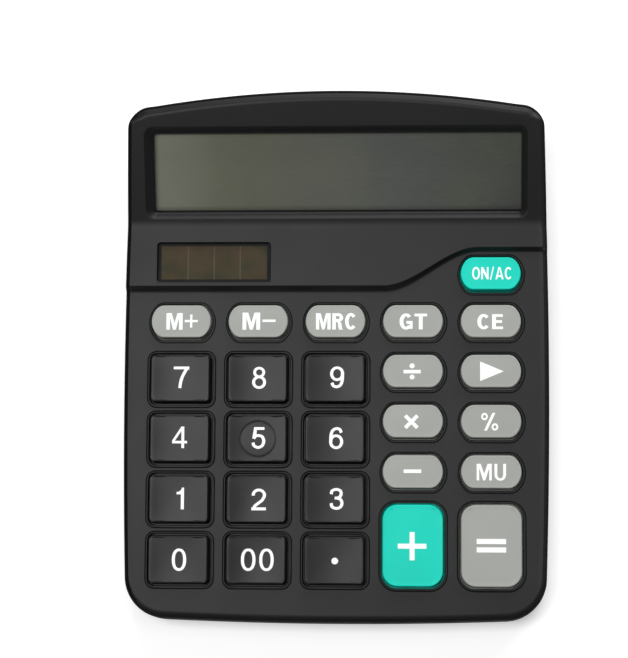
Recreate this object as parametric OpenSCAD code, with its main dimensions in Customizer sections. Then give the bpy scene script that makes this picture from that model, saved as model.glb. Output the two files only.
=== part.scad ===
// Desk calculator with a sloped display hood, a twelve-digit liquid crystal display,
// a solar cell and one AA cell. Millimetres. X runs to the right, Y to the rear and Z up.
// The origin is on the table surface, under the middle of the case.

/* [Case] */
// Length from the front edge to the rear edge, along the middle
case_len = 148.1; // [147.6:0.1:149]
// Width at the widest point
case_w = 119.9; // [119.4:0.1:121]
// Slope of the keypad plate, in degrees
plate_tilt = 3.5; // [3.3:0.1:3.8]
// Slope of the display hood, in degrees
hood_tilt = 22; // [21.8:0.1:22.4]
// Height of the keypad plate at its front edge
plate_front_z = 11.5; // [11.4:0.1:12]
// Height of the raised head strip above the keypad plate
head_rise = 1.5; // [1.2:0.1:1.6]
// Wall thickness of the two covers
wall = 2; // [1.8:0.1:2]

/* [Keys] */
// Distance between key columns
col_pitch = 21.8; // [21.6:0.05:21.9]
// Distance between rows of number keys
num_pitch = 16.9; // [16.8:0.05:17]
// Distance between rows of oval keys
oval_pitch = 14.06; // [13.9:0.02:14.1]
// Height of the number keys above the plate
num_h = 2.6; // [2.2:0.1:3]
// Height of the oval and tall keys above the plate
oval_h = 2.2; // [2:0.1:2.8]
// Gap between a key and the edge of its hole, on each side
key_gap = 0.35; // [0.3:0.05:0.4]

/* [Feet and battery] */
// How far the rubber feet lift the case off the table
foot_h = 1.2; // [1:0.1:1.3]
// Diameter of the rubber feet
foot_d = 10; // [8:0.5:11]
// Diameter of the AA cell
cell_d = 14.3; // [13.9:0.1:14.4]

/* [Hidden] */

// Case shape. The sides, the front and the rear are shallow arcs.
hl = case_len / 2;
hw = case_w / 2;
side_r = 1700;
side_y = -5;
front_r = 1140;
rear_r = 340;
front_corner = 11.5;
rear_corner = 7;
rear_lean = 1.75; // lean of the rear wall, in degrees
floor_t = 1.8;
floor_z = foot_h + floor_t; // inner face of the bottom
part_front = foot_h + 3.8; // height of the parting line at the front edge
part_tilt = 2; // slope of the parting line
plate_y = -72.5; // where the plate's slope is measured from
crease_y = 37.5; // where the head strip meets the hood
step_lo = 19.55; // the raised strip's edge, left part
step_hi = 30.25; // the same edge, right part
step_x0 = 13.5;
step_x1 = 40;
tp = tan(plate_tilt);
cp = cos(plate_tilt);
th = tan(hood_tilt);
ch = cos(hood_tilt);
crease_z = plate_front_z + (crease_y - plate_y) * tp + head_rise / cp;

// Keypad grid, along the plate's own slope from plate_y.
row_m = 82.49;
row_on = 96.01;
row_num = 66.33;
row_tall = 19.81;
num_w = 17.2;
num_d = 13.9;
oval_w = 16.8;
oval_d = 9.45;
tall_w = 17;
tall_d = 23;
flange = 0.8; // how far the rim round a key's foot stands out
flange_top = -wall - 0.1;
flange_bot = flange_top - 1;
board_top = -6.5;
board_t = 1.2;

// Screw places: case screws on plan X, Y; board screws on the plate's slope.
case_spots = [[-46, -68.8], [46, -68.8], [-53, 34], [53, 34], [-35, 68.2], [35, 68.2]];
board_spots = [[-1.5 * col_pitch, 75.4], [-1.5 * col_pitch, 41], [-0.5 * col_pitch, 57.9],
    [-0.5 * col_pitch, 24.1], [1.5 * col_pitch, 75.5], [1.5 * col_pitch, 47.35], [-8, 92]];
holder_spots = [[-22, 30.6], [22, 30.6]];
foot_spots = [[-48, -56], [48, -56], [-50, 55], [50, 55]];
boss_z = 4.95; // where the case bosses meet their seats

// Battery bay under the hood. The cell lies along X.
cell_y = 58.5;
cell_z = foot_h + 9.1;
cell_x0 = -24.2;
bay_r = 7.6;
bay_x0 = -29.2;
bay_x1 = 27;
door_x0 = -31.2;
door_x1 = 29;
door_y0 = 49.6;
door_y1 = 67.6;
door_t = 1.5;
tab_x = [-22, 20]; // middles of the door's two tabs
tab_w = 8;

// Colours
ink = [0.14, 0.14, 0.145];
soft_ink = [0.10, 0.10, 0.10];
pale = [0.70, 0.72, 0.70];
teal = [0.20, 0.84, 0.76];
steel = [0.75, 0.76, 0.78];

// ---------- shapes of the case ----------

function side_at(y, d) = hw - d - pow(y - side_y, 2) / (2 * side_r);
function front_at(x, d) = -hl + d + x * x / (2 * front_r);
function rear_at(x, d) = hl + 0.6 - d - x * x / (2 * rear_r);

// Right half of the plan outline, set in by d, from the middle of the front edge.
function half_outline(d) =
    let (fr = front_corner - d, rr = rear_corner - d,
        fy = front_at(hw - d - fr - 1.2, d) + fr, fx = side_at(fy, d) - fr,
        ry = rear_at(hw - d - rr - 1.5, d) - rr, rx = side_at(ry, d) - rr,
        a0 = -90 + atan(fx / front_r), a1 = atan((fy - side_y) / side_r),
        a2 = atan((ry - side_y) / side_r), a3 = 90 - atan(rx / rear_r),
        xf = fx + fr * cos(a0), xr = rx + rr * cos(a3),
        y1 = fy + fr * sin(a1), y2 = ry + rr * sin(a2))
    concat(
        [for (i = [0:5]) let (x = xf * i / 6) [x, front_at(x, d)]],
        [for (i = [0:8]) let (a = a0 + (a1 - a0) * i / 8) [fx + fr * cos(a), fy + fr * sin(a)]],
        [for (i = [1:9]) let (y = y1 + (y2 - y1) * i / 10) [side_at(y, d), y]],
        [for (i = [0:6]) let (a = a2 + (a3 - a2) * i / 6) [rx + rr * cos(a), ry + rr * sin(a)]],
        [for (i = [1:8]) let (x = xr * (8 - i) / 8) [x, rear_at(x, d)]]);

module outline(d) {
    h = half_outline(d);
    n = len(h);
    polygon(concat(h, [for (i = [n - 2:-1:1]) [-h[i][0], h[i][1]]]));
}

// Everything inside the case walls, set in by d. The rear wall leans forward.
module body_block(d, z0, z1) {
    intersection() {
        translate([0, 0, z0]) linear_extrude(z1 - z0) outline(d);
        translate([0, hl - rear_r / cos(rear_lean), foot_h]) rotate([rear_lean, 0, 0])
            translate([0, 0, -12]) cylinder(r = rear_r - d, h = 60, $fn = 720);
    }
}

// Turns a Y-Z outline into a bar along X.
module along_x(x0, x1) {
    translate([x0, 0, 0]) rotate([90, 0, 90]) linear_extrude(x1 - x0) children();
}

function on_plate_z(y, w) = plate_front_z + (y - plate_y) * tp + w / cp;
function on_hood_z(y, w) = crease_z + (y - crease_y) * th + w / ch;
function crease_at(w) = crease_y + w * (1 / cp - 1 / ch) / (th - tp);

module under_plate(w) {
    along_x(-70, 70) polygon([[-85, -10], [85, -10], [85, on_plate_z(85, w)], [-85, on_plate_z(-85, w)]]);
}

module under_head(w) {
    yc = crease_at(w);
    along_x(-70, 70) polygon([[-85, -10], [85, -10], [85, on_hood_z(85, w)],
        [yc, on_hood_z(yc, w)], [-85, on_plate_z(-85, head_rise + w)]]);
}

function ease(t) = t <= 0 ? 0 : t >= 1 ? 1 : t * t * (3 - 2 * t);
function step_at(x) = step_lo + (step_hi - step_lo) * ease((x - step_x0) / (step_x1 - step_x0));

// Plan area behind the S-shaped edge of the head strip, moved back by e.
module head_area(e) {
    translate([0, 0, -12]) linear_extrude(70)
        polygon(concat([[-72, step_lo + e]],
            [for (i = [0:12]) let (x = step_x0 + (step_x1 - step_x0) * i / 12) [x, step_at(x) + e]],
            [[72, step_hi + e], [72, 90], [-72, 90]]));
}

// The case as one lump, with its walls set in by d and its top lowered by t.
module case_lump(d, t) {
    intersection() {
        body_block(d, -8, 45);
        union() {
            under_plate(-t);
            intersection() { head_area(t); under_head(-t); }
        }
    }
}

// Rounds off the hood's rear edge with a flat facet that follows the arc.
module hood_facet() {
    r = rear_r * ch;
    on_hood() translate([0, (hl - 0.95 - crease_y) / ch - r, 0])
        rotate_extrude($fn = 720) polygon([[r - 6.07, 2], [r + 3.9, -4.5], [r + 3.9, 2]]);
}

module over_parting(dz) {
    translate([0, -hl, part_front + dz]) rotate([part_tilt, 0, 0]) translate([-80, -15, 0]) cube([160, 180, 70]);
}

module below_parting(dz) {
    translate([0, -hl, part_front + dz]) rotate([part_tilt, 0, 0]) translate([-80, -15, -40]) cube([160, 180, 40]);
}

// Local frames: on the keypad plate's surface, and on the hood's surface from the crease.
module on_plate() { translate([0, plate_y, plate_front_z]) rotate([plate_tilt, 0, 0]) children(); }
module on_hood() { translate([0, crease_y, crease_z]) rotate([hood_tilt, 0, 0]) children(); }

// ---------- flat outlines ----------

module round_rect(w, d, r) {
    square([w - 2 * r, d], center = true);
    square([w, d - 2 * r], center = true);
    for (x = [-1, 1], y = [-1, 1]) translate([x * (w / 2 - r), y * (d / 2 - r)]) circle(r = r, $fn = 32);
}

// Oval key outline: straight long sides and bowed ends.
module oval(w, d) {
    r = d * 0.584;
    difference() {
        square([w, d], center = true);
        for (s = [0, 1]) mirror([s, 0]) difference() {
            translate([w / 2 - r, -d / 2 - 1]) square([r + 1, d + 2]);
            translate([w / 2 - r, 0]) circle(r = r, $fn = 64);
        }
    }
}

// ---------- keypad ----------

// Every key: [kind, X, place on the slope]
function col(i) = (i - 2) * col_pitch;
KEYS = concat(
    [for (r = [0:3], c = [0:2]) ["num", col(c), row_num - r * num_pitch]],
    [for (c = [0:4]) ["oval", col(c), row_m]],
    [for (r = [1:3], c = [3, 4]) ["oval", col(c), row_m - r * oval_pitch]],
    [["oval", col(4), row_on]],
    [for (c = [3, 4]) ["tall", col(c), row_tall]]);

module key_outline(kind, e) {
    if (kind == "num") round_rect(num_w + 2 * e, num_d + 2 * e, 1.6 + e);
    if (kind == "oval") oval(oval_w + 2 * e, oval_d + 2 * e);
    if (kind == "tall") round_rect(tall_w + 2 * e, tall_d + 2 * e, 3.8 + e);
}

module slab(z0, z1) { translate([0, 0, z0]) linear_extrude(z1 - z0) children(); }

// One key: a hollow cap with a rim that stops it under the plate, and a post
// that pushes the rubber dome.
module key(kind, x, v) {
    top = kind == "num" ? num_h : oval_h;
    on_plate() translate([x, v, 0]) {
        difference() {
            union() {
                if (kind == "num") hull() {
                    slab(flange_bot + 0.5, flange_bot + 0.6) round_rect(num_w, num_d, 1.6);
                    slab(top - 0.05, top) round_rect(num_w - 1, num_d - 1, 1);
                }
                else slab(flange_bot + 0.5, top) key_outline(kind, 0);
                slab(flange_bot, flange_top) key_outline(kind, flange);
            }
            slab(flange_bot - 1, top - 1.4) key_outline(kind, -1.3);
        }
        translate([0, 0, flange_bot - 0.05]) cylinder(r = 2, h = top - 1.2 - flange_bot, $fn = 40);
        for (a = [0, 90]) rotate([0, 0, a]) slab(0, top - 1.2) square([(a == 0 ? (kind == "tall" ? tall_w : num_w) : (kind == "oval" ? oval_d : kind == "num" ? num_d : tall_d)) - 2, 0.8], center = true);
    }
}

function nk(i) = KEYS[i];
module nth_key(i, c) { color(c) key(KEYS[i][0], KEYS[i][1], KEYS[i][2]); }

module key_7() { nth_key(0, soft_ink); }
module key_8() { nth_key(1, soft_ink); }
module key_9() { nth_key(2, soft_ink); }
module key_4() { nth_key(3, soft_ink); }
module key_5() { nth_key(4, soft_ink); }
module key_6() { nth_key(5, soft_ink); }
module key_1() { nth_key(6, soft_ink); }
module key_2() { nth_key(7, soft_ink); }
module key_3() { nth_key(8, soft_ink); }
module key_0() { nth_key(9, soft_ink); }
module key_00() { nth_key(10, soft_ink); }
module key_decimal() { nth_key(11, soft_ink); }
module key_m_plus() { nth_key(12, pale); }
module key_m_minus() { nth_key(13, pale); }
module key_mrc() { nth_key(14, pale); }
module key_gt() { nth_key(15, pale); }
module key_ce() { nth_key(16, pale); }
module key_divide() { nth_key(17, pale); }
module key_arrow() { nth_key(18, pale); }
module key_multiply() { nth_key(19, pale); }
module key_percent() { nth_key(20, pale); }
module key_minus() { nth_key(21, pale); }
module key_mu() { nth_key(22, pale); }
module key_on_ac() { nth_key(23, teal); }
module key_plus() { nth_key(24, teal); }
module key_equals() { nth_key(25, pale); }

// ---------- covers ----------

module top_cover() {
    color(ink) difference() {
        union() {
            difference() {
                case_lump(0, 0);
                case_lump(wall, wall);
                below_parting(0);
                // rebate for the bottom cover's tongue
                intersection() { body_block(wall / 2, -8, 40); below_parting(1.6); }
            }
            // bosses for the case screws, clear of the bottom cover's wall and tongue
            intersection() {
                for (p = case_spots) translate([p[0], p[1], boss_z]) {
                    cylinder(r = 2.7, h = p[1] > 60 ? 17 : 40, $fn = 40);
                    if (p[1] > 60) translate([-0.6, 0, 7]) cube([1.2, 4, 10]);
                }
                case_lump(1, 1);
                union() { body_block(wall + 0.25, 0, 40); over_parting(1.6); }
            }
            // bosses for the key board and the display holder
            on_plate() for (p = board_spots) translate([p[0], p[1], board_top + 0.05]) cylinder(r = 2, h = 5, $fn = 40);
            on_hood() for (p = holder_spots) translate([p[0], p[1], -5.35]) cylinder(r = 1.9, h = 4, $fn = 40);
        }
        hood_facet();
        for (p = case_spots) translate([p[0], p[1], boss_z - 1]) cylinder(r = 1.3, h = 5.2, $fn = 40);
        on_plate() for (p = board_spots) translate([p[0], p[1], board_top - 1]) cylinder(r = 0.85, h = 4.6, $fn = 40);
        on_hood() for (p = holder_spots) translate([p[0], p[1], -6.5]) cylinder(r = 0.85, h = 4, $fn = 40);
        // key holes and the shallow wells round them
        on_plate() for (k = KEYS) translate([k[1], k[2], 0]) {
            slab(-wall - 1, 1) key_outline(k[0], key_gap);
            slab(-0.5, 1) key_outline(k[0], 0.95);
        }
        // display window, with sloped edges
        on_hood() hull() {
            translate([-53.9, 1.3, 0.02]) cube([107.8, 26.4, 0.1]);
            translate([-51.9, 3.6, -wall - 0.1]) cube([103.8, 22, 0.1]);
        }
        on_hood() translate([-51.9, 3.6, -wall - 1]) cube([103.8, 22, 2]);
        // solar window, and the pocket that holds the cell from inside
        on_plate() translate([-34.6, (26.75 - plate_y) / cp, 0]) {
            slab(-2, 3) square([30.8, 9.8], center = true);
            slab(-3, head_rise - 1.2) square([35.4, 14], center = true);
        }
    }
}

module bay_lump(r, x0, x1, y0, y1, z0) {
    translate([x0, y0, z0]) cube([x1 - x0, y1 - y0, cell_z - z0]);
    translate([x0, cell_y, cell_z]) rotate([0, 90, 0]) cylinder(r = r, h = x1 - x0, $fn = 96);
}

module bottom_cover() {
    color(ink) difference() {
        union() {
            // shell, with a tongue along its rim that locates the top cover
            difference() {
                union() {
                    intersection() { body_block(0, foot_h, 40); below_parting(0); }
                    intersection() { body_block(wall / 2 + 0.15, foot_h + 0.5, 40); below_parting(1.5); }
                }
                body_block(wall, floor_z, 45);
            }
            // seats for the case screws
            for (p = case_spots) translate([p[0], p[1], foot_h + 0.5]) cylinder(r = 3.2, h = boss_z - foot_h - 0.5, $fn = 40);
            // battery bay
            bay_lump(bay_r + 1.2, bay_x0 - 1.4, bay_x1 + 1.4, cell_y - bay_r - 1.2, cell_y + bay_r + 1.2, foot_h + 0.5);
            translate([door_x0 - 1, door_y0 - 1.2, foot_h + 0.5]) cube([door_x1 - door_x0 + 2, door_y1 - door_y0 + 2.4, 3.2]);
            // stiffening ribs on the floor
            for (x = [-30, -10, 10, 30]) translate([x - 0.6, -62, floor_z - 0.5]) cube([1.2, 100, 1]);
            for (y = [-40, -5, 30]) translate([-50, y - 0.6, floor_z - 0.5]) cube([100, 1.2, 1]);
        }
        // battery bay's hollow, and the seat of its door
        bay_lump(bay_r, bay_x0, bay_x1, cell_y - bay_r, cell_y + bay_r, 0);
        translate([door_x0, door_y0, 0]) cube([door_x1 - door_x0, door_y1 - door_y0, foot_h + door_t + 0.1]);
        // slots for the door's tabs and the finger catch
        for (x = tab_x) translate([x - tab_w / 2 - 0.4, 0, 0]) {
            translate([0, door_y0 - 1.9, floor_z]) cube([tab_w + 0.8, 4, 2.2]);
            translate([0, door_y0, foot_h + 1]) cube([tab_w + 0.8, 2.1, 3]);
        }
        translate([-6.4, door_y1 - 2, foot_h + 1]) cube([10.8, 2.35, 5]);
        // slots for the tails of the two contacts
        translate([bay_x1 - 0.8, door_y0 - 3, cell_z - 2]) cube([0.8, 5, 3.6]);
        translate([bay_x0, door_y0 - 3, cell_z - 2]) cube([0.8, 5, 3.6]);
        for (p = case_spots) translate([p[0], p[1], 0]) {
            cylinder(r = 2.7, h = 3.3, $fn = 48);
            cylinder(r = 1.5, h = 10, $fn = 40);
        }
        for (p = foot_spots) translate([p[0], p[1], 0]) cylinder(r = foot_d / 2 + 0.1, h = foot_h + 0.7, $fn = 64);
    }
}

// The door turns about the outer corner of its front edge, where two tabs reach inside.
module battery_door() {
    y0 = door_y0 + 0.25;
    color(ink) difference() {
        union() {
            translate([door_x0 + 0.25, y0, foot_h]) cube([door_x1 - door_x0 - 0.5, door_y1 - door_y0 - 0.5, door_t]);
            for (x = tab_x) translate([x - tab_w / 2, 0, 0]) {
                translate([0, y0, foot_h + door_t - 0.1]) cube([tab_w, 1.1, floor_z + 1 - foot_h - door_t + 0.1]);
                translate([0, door_y0 - 1.2, floor_z + 0.1]) cube([tab_w, 2, 0.9]);
            }
            // springy catch tongue
            translate([-6, door_y1 - 1.65, foot_h + door_t - 0.1]) cube([10, 1, 3]);
            // two cradle ribs that keep the cell from rattling
            for (x = [-15, 15]) translate([x - 0.5, cell_y - 4, foot_h + door_t - 0.1]) difference() {
                cube([1, 8, 1.2]);
                translate([-1, 4, cell_z - foot_h - door_t + 0.1]) rotate([0, 90, 0]) cylinder(r = cell_d / 2 + 0.25, h = 3, $fn = 96);
            }
        }
        // finger grip
        translate([-1, door_y1 - 4.5, foot_h - 3.2]) rotate([0, 90, 0]) translate([0, 0, -6]) cylinder(r = 4, h = 12, $fn = 64);
    }
}

module rubber_feet() {
    color(soft_ink) for (p = foot_spots) translate([p[0], p[1], 0])
        rotate_extrude($fn = 64) polygon([[0, 0], [foot_d / 2 - 0.5, 0], [foot_d / 2, 0.5], [foot_d / 2, foot_h + 0.7], [0, foot_h + 0.7]]);
}

module cross_slot(w, d) {
    for (a = [0, 90]) rotate([0, 0, a]) translate([-w / 2, -0.3, -1]) cube([w, 0.6, d + 1]);
}

// A pan-head screw that points up, with its head's outer face at Z 0.
module screw(hr, hh, r, len) {
    difference() {
        union() {
            cylinder(r = hr, h = hh, $fn = 40);
            translate([0, 0, hh - 0.1]) cylinder(r = r, h = len - 0.9, $fn = 32);
            translate([0, 0, hh + len - 1]) cylinder(r1 = r, r2 = 0.3, h = 1, $fn = 32);
        }
        cross_slot(hr * 1.2, hh * 0.55);
    }
}

module case_screws() {
    color(steel) for (p = case_spots) translate([p[0], p[1], 1.8]) screw(2.5, 1.5, 1.25, 5.6);
}

module board_screws() {
    color(steel) on_plate() for (p = board_spots)
        translate([p[0], p[1], board_top - board_t - 1]) screw(1.8, 1, 0.8, 3.9);
}

module display_screws() {
    color(steel) on_hood() for (p = holder_spots) translate([p[0], p[1], -7.5]) screw(1.7, 1, 0.8, 3.6);
}

// ---------- display ----------

module display_lens() {
    color([0.85, 0.88, 0.86, 0.35]) on_hood() translate([-55, 1, -wall - 1.2]) cube([110, 27.2, 1.15]);
}

// Two glass plates: the lower one stands out at the front edge, for the contacts.
module display_panel() {
    color([0.42, 0.43, 0.38]) on_hood() {
        translate([-54, 3.4, -4.3]) cube([108, 24.2, 1]);
        translate([-54, 1.6, -5.3]) cube([108, 26, 1]);
    }
}

module display_holder() {
    color(soft_ink) on_hood() difference() {
        union() {
            translate([-55.4, 5.6, -6.5]) cube([110.8, 22.9, 1.15]);
            for (s = [0, 1]) mirror([s, 0, 0]) translate([54.2, 1.2, -6.5]) cube([1.2, 27.3, 3.2]);
            translate([-55.4, 27.7, -6.5]) cube([110.8, 0.8, 3.2]);
            for (p = holder_spots) translate([p[0] - 3.2, 28, -6.5]) cube([6.4, 4.4, 1.15]);
        }
        for (x = [-49, 2.5]) translate([x, 9, -8]) cube([46.5, 16, 4]);
        for (p = holder_spots) translate([p[0], p[1], -8]) cylinder(r = 1, h = 4, $fn = 40);
    }
}

// Flat ribbon from the key board up to the display's contact edge. Y, Z of its lower face.
ribbon = [[24.2, 10.96], [28.6, 11.24], [33, 11.9], [37, 12.9], [40.2, 14.2], [41.4, 15.3], [43.4, 16.1]];

module display_ribbon() {
    t = 0.2;
    n = len(ribbon);
    color([0.55, 0.42, 0.25]) along_x(-30, 22) polygon(concat(ribbon,
        [for (i = [n - 1:-1:0]) let (a = ribbon[max(i - 1, 0)], b = ribbon[min(i + 1, n - 1)],
            l = norm(b - a)) ribbon[i] + [-(b[1] - a[1]), b[0] - a[0]] * t / l]));
}

// ---------- electronics ----------

// Glass strip with four light-sensitive fields and its back contacts.
module solar_cell() {
    color([0.25, 0.22, 0.17]) on_plate() translate([-34.6, (26.75 - plate_y) / cp, 0])
        slab(head_rise - 2.3, head_rise - 1.2) square([35, 13.6], center = true);
}

module main_board() {
    color([0.20, 0.42, 0.24]) on_plate() difference() {
        slab(board_top - board_t, board_top) translate([-54.5, 7.6]) square([109, 94.4]);
        for (p = board_spots) translate([p[0], p[1], -20]) cylinder(r = 1.05, h = 30, $fn = 40);
    }
}

// Sheet of silicone rubber with one hollow dome and one contact pill under every key.
module rubber_keypad() {
    t = 1;
    top = flange_bot - 0.1;
    color([0.75, 0.76, 0.74]) on_plate() {
        difference() {
            union() {
                slab(board_top, board_top + t) translate([-53.8, 8]) square([107.6, 81]);
                slab(board_top, board_top + t) translate([33, 88]) square([20.8, 13.5]);
                for (k = KEYS) translate([k[1], k[2], board_top + t - 0.1]) cylinder(r1 = 4, r2 = 2.6, h = top - board_top - t + 0.1, $fn = 48);
            }
            for (k = KEYS) translate([k[1], k[2], board_top - 0.01]) cylinder(r1 = 3.9, r2 = 1.9, h = top - board_top - 0.7, $fn = 48);
            for (p = board_spots) translate([p[0], p[1], -20]) cylinder(r = 2.3, h = 30, $fn = 40);
        }
        for (k = KEYS) translate([k[1], k[2], top - 1.6]) cylinder(r = 1.4, h = 1.2, $fn = 32);
    }
}

// Drop of black resin over the chip, on the underside of the board.
module calculator_chip() {
    color([0.06, 0.06, 0.06]) on_plate() translate([2, 93, board_top - board_t])
        intersection() {
            translate([0, 0, 14 - 1.5]) sphere(r = 14, $fn = 128);
            translate([-10, -10, -3]) cube([20, 20, 3]);
        }
}

module buffer_capacitor() {
    color([0.15, 0.18, 0.32]) on_plate() translate([22, 93, board_top - board_t - 2.55])
        rotate([0, 90, 0]) cylinder(r = 2.5, h = 7, $fn = 48);
}

module battery_cell() {
    color([0.30, 0.32, 0.34]) translate([cell_x0, cell_y, cell_z]) rotate([0, 90, 0]) {
        cylinder(r = cell_d / 2, h = 49.2, $fn = 96);
        cylinder(r = 2.7, h = 50.5, $fn = 48);
    }
}

module contact_plate() {
    color(steel) {
        translate([bay_x1 - 0.6, cell_y - 5.5, cell_z - 5]) cube([0.5, 11, 10]);
        translate([bay_x1 - 0.6, door_y0 - 2.6, cell_z - 1.7]) cube([0.5, 8, 3]);
    }
}

// Conical spring on its own plate. Points along the coil, from the plate to the cell.
coil_n = 56;
function coil_point(i) = let (t = i / coil_n, a = t * 360 * 4.25, r = 4.6 - 1.6 * t)
    [bay_x0 + 0.7 + t * (cell_x0 - bay_x0 - 1.14), cell_y + r * cos(a), cell_z + r * sin(a)];

module contact_spring() {
    color(steel) {
        translate([bay_x0 + 0.1, cell_y - 5.5, cell_z - 5]) cube([0.5, 11, 10]);
        translate([bay_x0 + 0.1, door_y0 - 2.6, cell_z - 1.7]) cube([0.5, 8, 3]);
        tube([for (i = [0:coil_n]) coil_point(i)], 0.38, [1, 0, 0]);
    }
}

// A round wire along a list of points, as one closed surface. ref is a direction that
// no part of the route runs along.
module tube(p, r, ref) {
    n = len(p);
    k = 8;
    ring = [for (i = [0:n - 1])
        let (a = p[max(i - 1, 0)], b = p[min(i + 1, n - 1)], t = (b - a) / norm(b - a),
            u0 = cross(t, ref), u = u0 / norm(u0), v = cross(t, u))
        for (j = [0:k - 1]) p[i] + r * (cos(360 * j / k) * u + sin(360 * j / k) * v)];
    polyhedron(ring, concat(
        [[for (j = [0:k - 1]) j]],
        [for (i = [0:n - 2], j = [0:k - 1]) let (j2 = (j + 1) % k)
            [i * k + j, (i + 1) * k + j, (i + 1) * k + j2, i * k + j2]],
        [[for (j = [k - 1:-1:0]) (n - 1) * k + j]]));
}

// Wire routes: from the battery contacts under the hood to the rear edge of the board,
// and from the solar cell straight down to the board.
module battery_wire_red() {
    color([0.75, 0.10, 0.08]) tube([[27.75, 48.2, 10.2], [27.9, 46.5, 9.6], [28.2, 44, 7.4], [28.5, 41, 5.6],
        [28.5, 37, 5.2], [28.5, 33.6, 6.2], [28.5, 31.7, 8.6], [28.5, 31, 11], [28.5, 29.8, 12.3],
        [28.5, 28, 12.3], [28.5, 26.4, 11.8]], 0.6, [1, 0, 0]);
}

module battery_wire_black() {
    color([0.08, 0.08, 0.08]) tube([[-29.95, 48.2, 10.2], [-30.3, 46.5, 9.6], [-31.5, 44, 7.4], [-32.5, 41, 5.6],
        [-33, 37, 5.2], [-33, 33.6, 6.2], [-33, 31.7, 8.6], [-33, 31, 11], [-33, 29.8, 12.3],
        [-33, 28, 12.3], [-33, 26.4, 11.8]], 0.6, [1, 0, 0]);
}

module solar_wire(x, c) {
    color(c) on_plate() tube([[x, 101, -1.45], [x, 99.6, -1.7], [x, 98.4, -2.6], [x, 97.6, -4], [x, 96.6, -5.2], [x, 95, -5.85], [x, 93.4, -5.95]], 0.5, [1, 0, 0]);
}

module solar_wire_red() { solar_wire(-48, [0.75, 0.10, 0.08]); }
module solar_wire_black() { solar_wire(-38, [0.08, 0.08, 0.08]); }

top_cover();
bottom_cover();
battery_door();
rubber_feet();
case_screws();
display_lens();
display_panel();
display_holder();
display_screws();
display_ribbon();
solar_cell();
main_board();
board_screws();
rubber_keypad();
calculator_chip();
buffer_capacitor();
battery_cell();
contact_plate();
contact_spring();
battery_wire_red();
battery_wire_black();
solar_wire_red();
solar_wire_black();
key_0();
key_00();
key_decimal();
key_1();
key_2();
key_3();
key_4();
key_5();
key_6();
key_7();
key_8();
key_9();
key_plus();
key_equals();
key_minus();
key_mu();
key_multiply();
key_percent();
key_divide();
key_arrow();
key_m_plus();
key_m_minus();
key_mrc();
key_gt();
key_ce();
key_on_ac();
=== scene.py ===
import math

import bmesh
import bpy
from mathutils import Euler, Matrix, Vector
from mathutils.geometry import delaunay_2d_cdt


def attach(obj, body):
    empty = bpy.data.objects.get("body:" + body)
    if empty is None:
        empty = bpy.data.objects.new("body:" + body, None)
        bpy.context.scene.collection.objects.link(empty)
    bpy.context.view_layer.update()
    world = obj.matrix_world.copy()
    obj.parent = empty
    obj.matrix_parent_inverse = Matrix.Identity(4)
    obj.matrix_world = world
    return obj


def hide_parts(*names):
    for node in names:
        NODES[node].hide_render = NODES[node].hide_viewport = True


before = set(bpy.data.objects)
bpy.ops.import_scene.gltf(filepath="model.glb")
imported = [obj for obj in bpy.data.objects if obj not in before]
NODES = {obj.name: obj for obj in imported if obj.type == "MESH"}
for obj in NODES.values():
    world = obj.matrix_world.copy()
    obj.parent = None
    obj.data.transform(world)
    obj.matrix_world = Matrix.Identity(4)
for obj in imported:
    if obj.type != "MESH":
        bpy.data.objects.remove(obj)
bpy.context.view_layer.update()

MM = 0.001


# ---------------------------------------------------------------- case shape, in mm
def rad(a):
    return math.radians(a)


SP, CP, TP = math.sin(rad(3.5)), math.cos(rad(3.5)), math.tan(rad(3.5))
SH, CH, TH = math.sin(rad(22)), math.cos(rad(22)), math.tan(rad(22))
FOOT = 1.2
PLATE_Y, PLATE_Z = -72.5, 11.5
RISE = 1.5
CREASE_Y = 37.5
CREASE_Z = PLATE_Z + (CREASE_Y - PLATE_Y) * TP + RISE / CP
CREASE_H = 1.34
LEAN = math.tan(rad(1.75))
SKIN = 2.15  # thickness of the top skin, measured along Z


def ease(t):
    t = min(max(t, 0.0), 1.0)
    return t * t * (3 - 2 * t)


def lerp(a, b, t):
    return a + (b - a) * t


def on_plate(x, v, w=0.0):
    return (x, PLATE_Y + v * CP - w * SP, PLATE_Z + v * SP + w * CP)


def on_hood(x, v, w=0.0):
    return (x, CREASE_Y + v * CH - w * SH, CREASE_Z + v * SH + w * CH)


RAMP = [(0, 0), (0.12, 0.006), (0.24, 0.024), (0.36, 0.066), (0.48, 0.15), (0.64, 0.42), (0.8, 0.78), (0.9, 0.95), (0.96, 0.99), (1, 1)]
STEP_L = (17.7, 20.08)
STEP_R = (29.3, 30.9)


def ramp(t):
    if t <= 0:
        return 0.0
    for (a, fa), (b, fb) in zip(RAMP, RAMP[1:]):
        if t <= b:
            return lerp(fa, fb, (t - a) / (b - a))
    return 1.0


def step_row(x, t):
    """Y of the raised strip's slanted edge at x: t = 0 at its foot, 1 at its top."""
    e = ease((x - 13.5) / 26.5)
    return lerp(lerp(STEP_L[0], STEP_R[0], e), lerp(STEP_L[1], STEP_R[1], e), t)


def top_z(x, y):
    """Height of the case's top face, before its edges are rounded."""
    a, b = step_row(x, 0), step_row(x, 1)
    z = PLATE_Z + (y - PLATE_Y) * TP + RISE / CP * ramp((y - a) / (b - a))
    u = y - (CREASE_Y - CREASE_H)
    if u > 2 * CREASE_H:
        z += (TH - TP) * (y - CREASE_Y)
    elif u > 0:
        z += (TH - TP) * u * u / (4 * CREASE_H)
    return z


def parting_z(y):
    return 5.0 + (y + 74.05) * math.tan(rad(2))


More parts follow.
